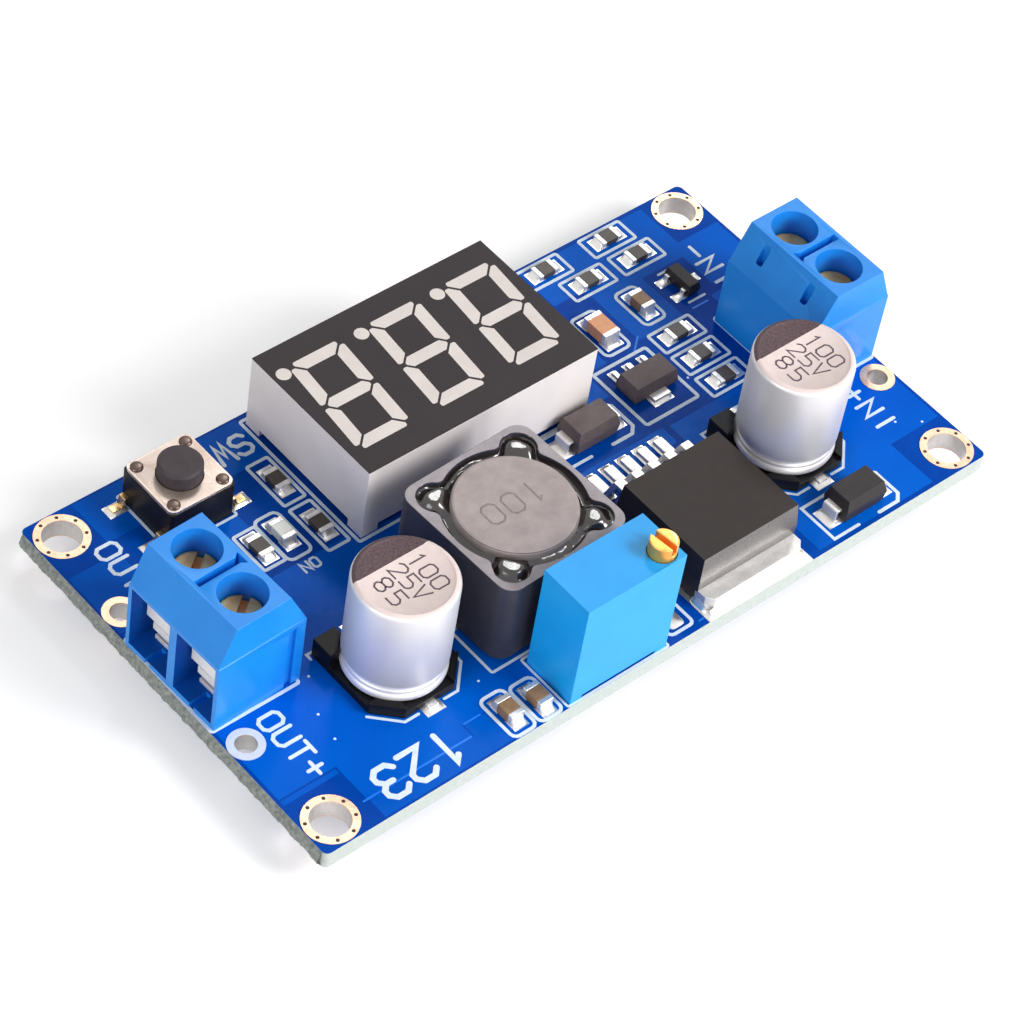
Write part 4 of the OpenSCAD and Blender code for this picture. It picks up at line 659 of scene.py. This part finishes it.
# Linear regulator, diodes, spare pad and small transistor
lo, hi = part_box("linear_regulator_leads")
frame_line(*grown(lo, hi, 1.1, 0.95, 1.3, 0.8), 0.2, 0.3)
for node in ("input_diode_body", "catch_diode_body"):
    lo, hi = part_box(node)
    x0, x1, y0, y1 = grown(lo, hi, 1.55, 1.55, 0.55, 0.55)
    ribbon(bm, [(x0 + 2.6, y0), (x0, y0), (x0, y1), (x0 + 2.6, y1)], 0.26)
    ribbon(bm, [(x1 - 2.6, y0), (x1 - 0.6, y0), (x1, y0 + 0.6), (x1, y1 - 0.6), (x1 - 0.6, y1),
                (x1 - 2.6, y1)], 0.3)
frame_line(0.1, 2.45, -17.3, -14.75, 0.4)
lo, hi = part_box("transistor_body")
x0, x1, y0, y1 = grown(lo, hi, 0.2, 0.2, 0.4, 0.4)
for y in (y1, y0):
    ribbon(bm, [(x0, y), (x1, y)], 0.22)
# Generic labels: text, place, height, turn, stroke and pitch
for label in (("OUT+", (-29.75, -5.95), 1.8, -90, 0.3, 1.68),
              ("OUT-", (-29.75, 13.3), 1.8, -90, 0.3, 1.68),
              ("IN+", (29.6, -11.6), 1.8, 90, 0.3, 1.8), ("IN-", (29.75, 7.3), 1.8, 90, 0.3, 1.8),
              ("SW", (-13.75, 16.5), 1.95, 180, 0.34, 1.65),
              ("ON", (-16.7, 3.7), 0.9, 180, 0.2, 0.85),
              ("123", (-19.3, -14.25), 2.75, 180, 0.46, 2.5)):
    letters(bm, *label)
raise_print(bm, TOP, 0.04 * mm)
piece("silkscreen", bm, ["silk"], bevel=0)


# Solder ---------------------------------------------------------------------

MOUND_STEPS, MOUND_AROUND = 6, 48
MOUND_POWER, MOUND_SQUARE, MOUND_ROUGH = 2.4, 5, 0.08
HAIR = 1e-6  # metres


def mound(bm, lo, hi, z, height, seed):
    """A drop of solder over a rectangle: a low dome with rounded corners."""
    cx, cy = (lo[0] + hi[0]) / 2, (lo[1] + hi[1]) / 2
    a, b = (hi[0] - lo[0]) / 2, (hi[1] - lo[1]) / 2
    rings = []
    for i in range(MOUND_STEPS + 1):
        t = i / MOUND_STEPS
        ring = []
        for j in range(MOUND_AROUND):
            ang = 2 * math.pi * j / MOUND_AROUND
            c, s = math.cos(ang), math.sin(ang)
            k = (abs(c) ** MOUND_SQUARE + abs(s) ** MOUND_SQUARE) ** (-1 / MOUND_SQUARE)
            x, y = cx + a * k * c * t, cy + b * k * s * t
            n = noise.noise(Vector((x / mm * 2, y / mm * 2, seed)))
            h = height * (1 - t ** MOUND_POWER + MOUND_ROUGH * n * (1 - t))
            ring.append((x, y, z + max(0, h)))
            if i == 0:
                break
        rings.append([bm.verts.new(p) for p in ring])
    for j in range(MOUND_AROUND):
        bm.faces.new((rings[0][0], rings[1][j], rings[1][(j + 1) % MOUND_AROUND]))
    for ring, wider in zip(rings[1:], rings[2:]):
        for j in range(MOUND_AROUND):
            k = (j + 1) % MOUND_AROUND
            bm.faces.new((ring[j], wider[j], wider[k], ring[k]))


FILLET_COLS, FILLET_ROWS = 9, 7


def fillet(bm, mid, out, side, width, height, reach):
    """A concave solder fillet that climbs a wall from its land. mid is the wall's foot, out the
    direction away from it and side the direction along it."""
    grid = []
    for i in range(FILLET_COLS):
        u = -1 + 2 * i / (FILLET_COLS - 1)
        taper = (1 - abs(u) ** 4) ** 0.5
        line = []
        for j in range(FILLET_ROWS + 1):
            t = j / FILLET_ROWS
            r = reach * t * (0.55 + 0.45 * taper)
            h = height * (0.25 + 0.75 * taper) * (1 - t) ** 1.9
            p = mid + out * r + side * (u * width / 2)
            line.append(bm.verts.new((p.x, p.y, LAND + h)))
        grid.append(line)
    foot = [bm.verts.new((g[0].co.x, g[0].co.y, LAND)) for g in grid]
    for i in range(FILLET_COLS - 1):
        for j in range(FILLET_ROWS):
            bm.faces.new((grid[i][j], grid[i][j + 1], grid[i + 1][j + 1], grid[i + 1][j]))
        bm.faces.new((foot[i], grid[i][0], grid[i + 1][0], foot[i + 1]))
        bm.faces.new((foot[i], foot[i + 1], grid[i + 1][-1], grid[i][-1]))
    for g, a in ((grid[0], foot[0]), (grid[-1], foot[-1])):
        bm.faces.new([a] + g if g is grid[-1] else [a] + g[::-1])


def over(land, p):
    """Whether a point is above a land."""
    return all(land[0][k] - HAIR < p[k] < land[1][k] + HAIR for k in (0, 1))


lands = islands("solder_lands")
ends = islands("chip_ends")
# Each chip end gets a fillet on the side where its land goes on. These are its shares of the
# end's width, the end's height and the free part of the land.
END_WIDTH, END_CLIMB, END_REACH = 0.98, 0.8, 0.96
bm = bmesh.new()
for lo, hi in ends:
    mid = (lo + hi) / 2
    own = [land for land in lands if over(land, mid)]
    if not own:
        continue
    a, b = own[0]
    d = mid - (a + b) / 2
    k = 0 if abs(d.x) > abs(d.y) else 1
    wall, far = (lo[k], a[k]) if d[k] > 0 else (hi[k], b[k])
    out, side, foot = Vector((0, 0, 0)), Vector((0, 0, 0)), Vector((mid.x, mid.y, 0))
    out[k], side[1 - k], foot[k] = (-1 if d[k] > 0 else 1), 1, wall
    fillet(bm, foot, out, side, (hi[1 - k] - lo[1 - k]) * END_WIDTH, (hi.z - lo.z) * END_CLIMB,
           abs(far - wall) * END_REACH)
bmesh.ops.recalc_face_normals(bm, faces=bm.faces)
piece("chip_solder", bm, ["solder"], smooth=60)

# Solder on the lands of leads
WIDE_LAND = 8 * mm  # only the regulator tab's land is wider
DROP_HIGH, DROP_SHARE = 0.24 * mm, 0.2  # most height, in metres and of the land's short side
bm = bmesh.new()
tab_lo, tab_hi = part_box("regulator_tab")
for k, land in enumerate(lands):
    size = land[1] - land[0]
    if size.x > WIDE_LAND or any(over(land, (a + b) / 2) for a, b in ends):
        continue
    mound(bm, *land, LAND - 0.002 * mm, min(DROP_HIGH, min(size.x, size.y) * DROP_SHARE), seed=k)
piece("lead_solder", bm, ["solder"], smooth=60)

# The regulator's tab stands in a pool that wets its front and its sides
big = max(lands, key=lambda q: (q[1] - q[0]).x)
bm = bmesh.new()
y_front = tab_lo[1]
fillet(bm, Vector(((tab_lo[0] + tab_hi[0]) / 2, y_front, 0)), Vector((0, -1, 0)), Vector((1, 0, 0)),
       (tab_hi[0] - tab_lo[0]) * 0.97, 0.8 * mm, abs(y_front - big[0].y) * 0.97)
for x, out in ((tab_lo[0], -1), (tab_hi[0], 1)):
    fillet(bm, Vector((x, y_front + 1.0 * mm, 0)), Vector((out, 0, 0)), Vector((0, 1, 0)), 1.6 * mm,
           0.6 * mm, 0.34 * mm)
bmesh.ops.recalc_face_normals(bm, faces=bm.faces)
piece("tab_solder", bm, ["solder"], smooth=60)

# The tinned lands themselves, the cones on the underside and the bare pad
dress("solder_lands", ["solder"], bevel=0)
dress("solder_cones", ["solder"], bevel=0, smooth=60)
bm = bmesh.new()
mound(bm, (0.55 * mm, -16.95 * mm), (1.95 * mm, -15.1 * mm), TOP, 0.16 * mm, seed=5)
piece("spare_pad", bm, ["solder"], smooth=60)


# Screw terminals ------------------------------------------------------------

SKIN = (0.3, 0.6, 0.3)  # mm of the housing's sides along x, y and z that aren't chamber
CHAMBER_TOP = 4.3  # mm from the housing's top down to the chambers


def in_chamber(p, low, high):
    """1 for a face inside the wire chambers, which gets the darker painted shade, 0 for the outer
    faces and the screw wells.
    """
    deep = all(low[k] + d * mm < p[k] < high[k] - d * mm for k, d in enumerate(SKIN))
    return int(deep and p.z < high[2] - CHAMBER_TOP * mm)


for end in ("output", "input"):
    low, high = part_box(end + "_terminal_housing")
    # Faces deep in the wire chambers take the darker blue: painted shade
    dress(end + "_terminal_housing", ["terminal", "chamber"], bevel=0.07, angle=25, segments=2,
          smooth=30, pick=lambda n, p: in_chamber(p, low, high))
    dress(end + "_terminal_contacts", ["steel"], bevel=0.05, angle=40)
    for pole in ("plus", "minus"):
        dress(f"{end}_guard_{pole}", ["steel"], bevel=0.03, angle=40)
        dress(f"{end}_screw_{pole}", ["zinc"], bevel=0.05, angle=40)


# Readout --------------------------------------------------------------------

dress("readout_case", ["shell"], bevel=0.05, angle=50)
for part, mat in (("film", "film"), ("segments", "segment"), ("substrate", "substrate"),
                  ("pins", "tin")):
    dress("readout_" + part, [mat], bevel=0)


# Inductor -------------------------------------------------------------------

# The shield's top faces take the lighter ferrite: painted sheen
dress("inductor_shield", ["ferrite", "ferrite_top_painted_sheen"], bevel=0.16, angle=40, segments=3,
      pick=lambda n, p: 1 if n.z > 0.5 and p.z > 5 * mm else 0)
dress("inductor_drum", ["drum"], bevel=0.24, angle=40, segments=3)
dress("inductor_winding", ["winding"], bevel=0)
dress("inductor_strips", ["tin"], bevel=0.04)

drum_lo, drum_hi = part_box("inductor_drum")
glue_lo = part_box("inductor_adhesive")[0]
ICX, ICY = (drum_lo[0] + drum_hi[0]) / 2, (drum_lo[1] + drum_hi[1]) / 2
DRUM_R = (drum_hi[0] - drum_lo[0]) / 2
BORE_R, LOBE_R, LOBE_OUT, LOBE_FILLET = 5.6 * mm, 1.4 * mm, 5.85 * mm, 0.7 * mm
IND_TURN = math.radians(1.9)
SHIELD_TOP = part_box("inductor_shield")[1][2]
# Where the fillet between the round opening and a pocket has its centre
FILLET_OUT = BORE_R + LOBE_FILLET
FILLET_AT = math.acos((FILLET_OUT ** 2 + LOBE_OUT ** 2 - (LOBE_R + LOBE_FILLET) ** 2)
                      / (2 * LOBE_OUT * FILLET_OUT))
LOBE_END = math.atan2(LOBE_R * FILLET_OUT * math.sin(FILLET_AT) / (LOBE_R + LOBE_FILLET),
                      LOBE_OUT + LOBE_R * (FILLET_OUT * math.cos(FILLET_AT) - LOBE_OUT)
                      / (LOBE_R + LOBE_FILLET))


def bore_radius(a):
    """How far the shield's opening reaches at an angle: a circle with four filleted pockets."""
    d = abs((a - IND_TURN) % (math.pi / 2) - math.pi / 4)
    if d < LOBE_END:
        return LOBE_OUT * math.cos(d) + math.sqrt(LOBE_R ** 2 - (LOBE_OUT * math.sin(d)) ** 2)
    if d < FILLET_AT:
        s = FILLET_OUT * math.sin(FILLET_AT - d)
        return FILLET_OUT * math.cos(FILLET_AT - d) - math.sqrt(LOBE_FILLET ** 2 - s * s)
    return BORE_R


def in_lobe(a):
    """1 in the middle of a pocket, 0 outside."""
    d = abs((a - IND_TURN) % (math.pi / 2) - math.pi / 4)
    return max(0, 1 - (d / math.radians(14)) ** 2)


# How far the adhesive keeps from the walls, lies below the shield's top and may stand over it
GLUE_GAP, GLUE_DEEP, GLUE_PROUD = 0.004 * mm, 0.72 * mm, 0.12 * mm
bm = bmesh.new()
around, across = 256, 16
glue = []
for i in range(around):
    a = 2 * math.pi * i / around
    r0, r1 = DRUM_R + GLUE_GAP, bore_radius(a) - GLUE_GAP
    lobe = in_lobe(a)
    line = []
    for j in range(across + 1):
        t = j / across
        r = r0 + (r1 - r0) * t
        x, y = ICX + r * math.cos(a), ICY + r * math.sin(a)
        n = noise.noise(Vector((x / mm * 0.9, y / mm * 0.9, 4)))
        climb = 0.2 * (1 - t) ** 3 + 0.34 * t ** 5
        belly = lobe * (1.05 * max(0, math.sin(math.pi * (0.12 + 0.84 * t))) ** 2 + 0.1 * n)
        z = SHIELD_TOP - GLUE_DEEP + (climb + belly + 0.14 * n) * mm
        line.append(bm.verts.new((x, y, min(z, SHIELD_TOP + GLUE_PROUD))))
    line.append(bm.verts.new((line[-1].co.x, line[-1].co.y, glue_lo[2])))
    line.append(bm.verts.new((line[0].co.x, line[0].co.y, glue_lo[2])))
    glue.append(line)
for i in range(around):
    a, b = glue[i], glue[(i + 1) % around]
    for j in range(len(a)):
        k = (j + 1) % len(a)
        bm.faces.new((a[j], a[k], b[k], b[j]))
bmesh.ops.recalc_face_normals(bm, faces=bm.faces)
piece("adhesive_ring", bm, ["adhesive"], smooth=50, replaces=("inductor_adhesive",))

bm = bmesh.new()
letters(bm, "100", (ICX / mm + 2.4, ICY / mm + 1.1), 1.9, 180, 0.17, pitch=1.9)
raise_print(bm, drum_hi[2], 0.008 * mm)
piece("inductor_number", bm, ["faint_ink"], bevel=0)


# Electrolytic capacitors ----------------------------------------------------

EDGE_R = 0.45  # mm of the can's rounded edge
SINK, INK = 0.1, 0.012  # mm that the top lies below its lip, and that the print is thick
BAND = 0.41  # of the can's radius, where the dark band starts
for end in ("output", "input"):
    dress(end + "_capacitor_can", ["can"], bevel=0, smooth=50)
    dress(end + "_capacitor_base", ["black"], bevel=0.08, angle=25)
    dress(end + "_capacitor_leads", ["tin"], bevel=0.03)
    lo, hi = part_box(end + "_capacitor_can")
    cx, cy, r = (lo[0] + hi[0]) / 2 / mm, (lo[1] + hi[1]) / 2 / mm, (hi[0] - lo[0]) / 2 / mm
    # The print covers the flat top, its lip and the start of the rounded edge
    top, around = hi[2] / mm, 72
    rim = r - EDGE_R
    section = [(rim - 0.15, -SINK), (rim, 0)] + [
        (rim + EDGE_R * math.sin(math.radians(t)), EDGE_R * (math.cos(math.radians(t)) - 1))
        for t in (15, 30, 45)]
    bm = bmesh.new()
    rings = [[bm.verts.new((cx + q * math.cos(2 * math.pi * i / around),
                            cy + q * math.sin(2 * math.pi * i / around), h))
              for i in range(around)] for q, h in section]
    bm.faces.new(rings[0])
    for a, b in zip(rings, rings[1:]):
        for i in range(around):
            j = (i + 1) % around
            bm.faces.new((a[i], b[i], b[j], a[j]))
    band = cy + BAND * r
    bmesh.ops.bisect_plane(bm, geom=bm.verts[:] + bm.edges[:] + bm.faces[:],
                           plane_co=(0, band, 0), plane_no=(0, 1, 0))
    for f in bm.faces:
        f.material_index = 1 if f.calc_center_median().y > band else 0
    up = bmesh.ops.extrude_face_region(bm, geom=bm.faces[:])["geom"]
    bmesh.ops.translate(bm, verts=[v for v in up if isinstance(v, bmesh.types.BMVert)],
                        vec=(0, 0, INK))
    bmesh.ops.recalc_face_normals(bm, faces=bm.faces)
    for v in bm.verts:
        v.co = Vector((v.co.x * mm, v.co.y * mm, (v.co.z + top) * mm))
    piece(end + "_capacitor_print", bm, ["can_top", "can_dark"], bevel=0)
    bm = bmesh.new()
    for text, x, y, pitch in (("100", 0.95, 1.2, 1.25), ("25V", -0.75, 1.2, 1.25),
                              ("85", -2.45, 0.8, 1.5)):
        letters(bm, text, (cx + x, cy + y), 1.35, -90, 0.14, pitch)
    raise_print(bm, (top - SINK + INK) * mm, INK * mm)
    piece(end + "_capacitor_numbers", bm, ["can_ink"], bevel=0)


# Regulator ------------------------------------------------------------------

# The body's front faces take the lighter grey: painted reflection
dress("regulator_body", ["package", "package_front_painted_reflection"], bevel=0.07, angle=20,
      pick=lambda n, p: 1 if n.y < -0.5 else 0)
dress("regulator_tab", ["tin"], bevel=0.05)
dress("regulator_leads", ["tin"], bevel=0.06)


# Trimmer --------------------------------------------------------------------

dress("trimmer_housing", ["trimmer"], bevel=0.12, angle=40, segments=3)
dress("trimmer_screw", ["brass"], bevel=0.1, angle=40, segments=3)
dress("trimmer_pins", ["tin"], bevel=0)


# Push button ----------------------------------------------------------------

cover_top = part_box("button_cover")[1][2]
# The rivet heads above the cover are black plastic and take the bronze-brown: painted reflection
dress("button_base", ["black", "rivet"], bevel=0.05,
      pick=lambda n, p: 1 if p.z > cover_top - 0.01 * mm else 0)
# The cover's streaks and near-white edges are painted reflection and painted highlight
dress("button_cover", ["cover"], bevel=0.06, angle=40)
dress("button_plunger", ["button"], bevel=0.04, angle=40)
dress("button_dome", ["steel"], bevel=0)
dress("button_terminals", ["silver"], bevel=0.04)


# Small packages and chips ---------------------------------------------------

for node in ("input_diode", "catch_diode", "linear_regulator", "transistor", "controller"):
    mat = "package_dark" if node in ("input_diode", "transistor") else "package_light"
    dress(node + "_body", [mat], bevel=0.05, angle=20)
    dress(node + "_leads", ["tin"], bevel=0.03)
dress("chip_resistors", ["resistor"], bevel=0.03)
dress("ceramic_capacitors", ["brown"], bevel=0.05)
dress("filter_capacitor", ["tan"], bevel=0.06)
dress("indicator_lamp", ["lamp"], bevel=0.08)
dress("chip_ends", ["tin"], bevel=0.06)


# Stage ----------------------------------------------------------------------

def seen(nt):
    """1 for the rays of the camera, of mirror images and of glass, which see a white studio."""
    path = nt.nodes.new("ShaderNodeLightPath")
    total = path.outputs["Is Camera Ray"]
    for name in ("Is Glossy Ray", "Is Transmission Ray"):
        add = nt.nodes.new("ShaderNodeMath")
        add.operation = "MAXIMUM"
        nt.links.new(total, add.inputs[0])
        nt.links.new(path.outputs[name], add.inputs[1])
        total = add.outputs["Value"]
    return total


def scaled(nt, value, factor, offset=0.0):
    """A node's value times a factor, plus an offset."""
    n = nt.nodes.new("ShaderNodeMath")
    n.operation = "MULTIPLY_ADD"
    nt.links.new(value, n.inputs[0])
    n.inputs[1].default_value = factor
    n.inputs[2].default_value = offset
    return n.outputs["Value"]


AMBIENT = 0.33  # strength of the light that the white surroundings give
FLOOR_GLOW = 0.4
FLOOR_COLOR, FLOOR_SIZE = (0.72, 0.72, 0.73, 1), 2.0
WHITE = (1, 1, 1, 1)

floor_mat = bpy.data.materials.new("floor")
floor_mat.use_nodes = True
nt = floor_mat.node_tree
b = nt.nodes["Principled BSDF"]
b.inputs["Roughness"].default_value = 0.9
b.inputs["Specular IOR Level"].default_value = 0.1
b.inputs["Base Color"].default_value = FLOOR_COLOR
b.inputs["Emission Color"].default_value = WHITE
nt.links.new(scaled(nt, seen(nt), FLOOR_GLOW), b.inputs["Emission Strength"])

floor_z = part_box("readout_pins")[0][2]
bm = bmesh.new()
bmesh.ops.create_grid(bm, x_segments=4, y_segments=4, size=FLOOR_SIZE)
mesh = bpy.data.meshes.new("floor")
bm.to_mesh(mesh)
bm.free()
mesh.materials.append(floor_mat)
floor = bpy.data.objects.new("floor", mesh)
floor.location.z = floor_z
scene.collection.objects.link(floor)

world = bpy.data.worlds.new("studio")
scene.world = world
world.use_nodes = True
nt = world.node_tree
background = nt.nodes["Background"]
background.inputs["Color"].default_value = WHITE
nt.links.new(scaled(nt, seen(nt), 1 - AMBIENT, AMBIENT), background.inputs["Strength"])


def lamp(name, at, size, watts):
    """A rectangular lamp aimed at the middle of the board."""
    data = bpy.data.lights.new(name, "AREA")
    data.shape = "RECTANGLE"
    data.size, data.size_y = size
    data.energy = watts
    ob = bpy.data.objects.new(name, data)
    ob.location = at
    ob.rotation_euler = (-Vector(at)).to_track_quat("-Z", "Y").to_euler()
    scene.collection.objects.link(ob)


lamp("key", (0.27, -0.39, 0.36), (0.24, 0.24), 2.9)
lamp("front", (-0.04, -0.5, 0.14), (0.3, 0.16), 0.95)
lamp("side", (-0.26, -0.04, 0.12), (0.16, 0.1), 0.25)
lamp("back", (0.33, 0.3, 0.5), (0.11, 0.11), 0.45)

scene.view_settings.view_transform = "Standard"
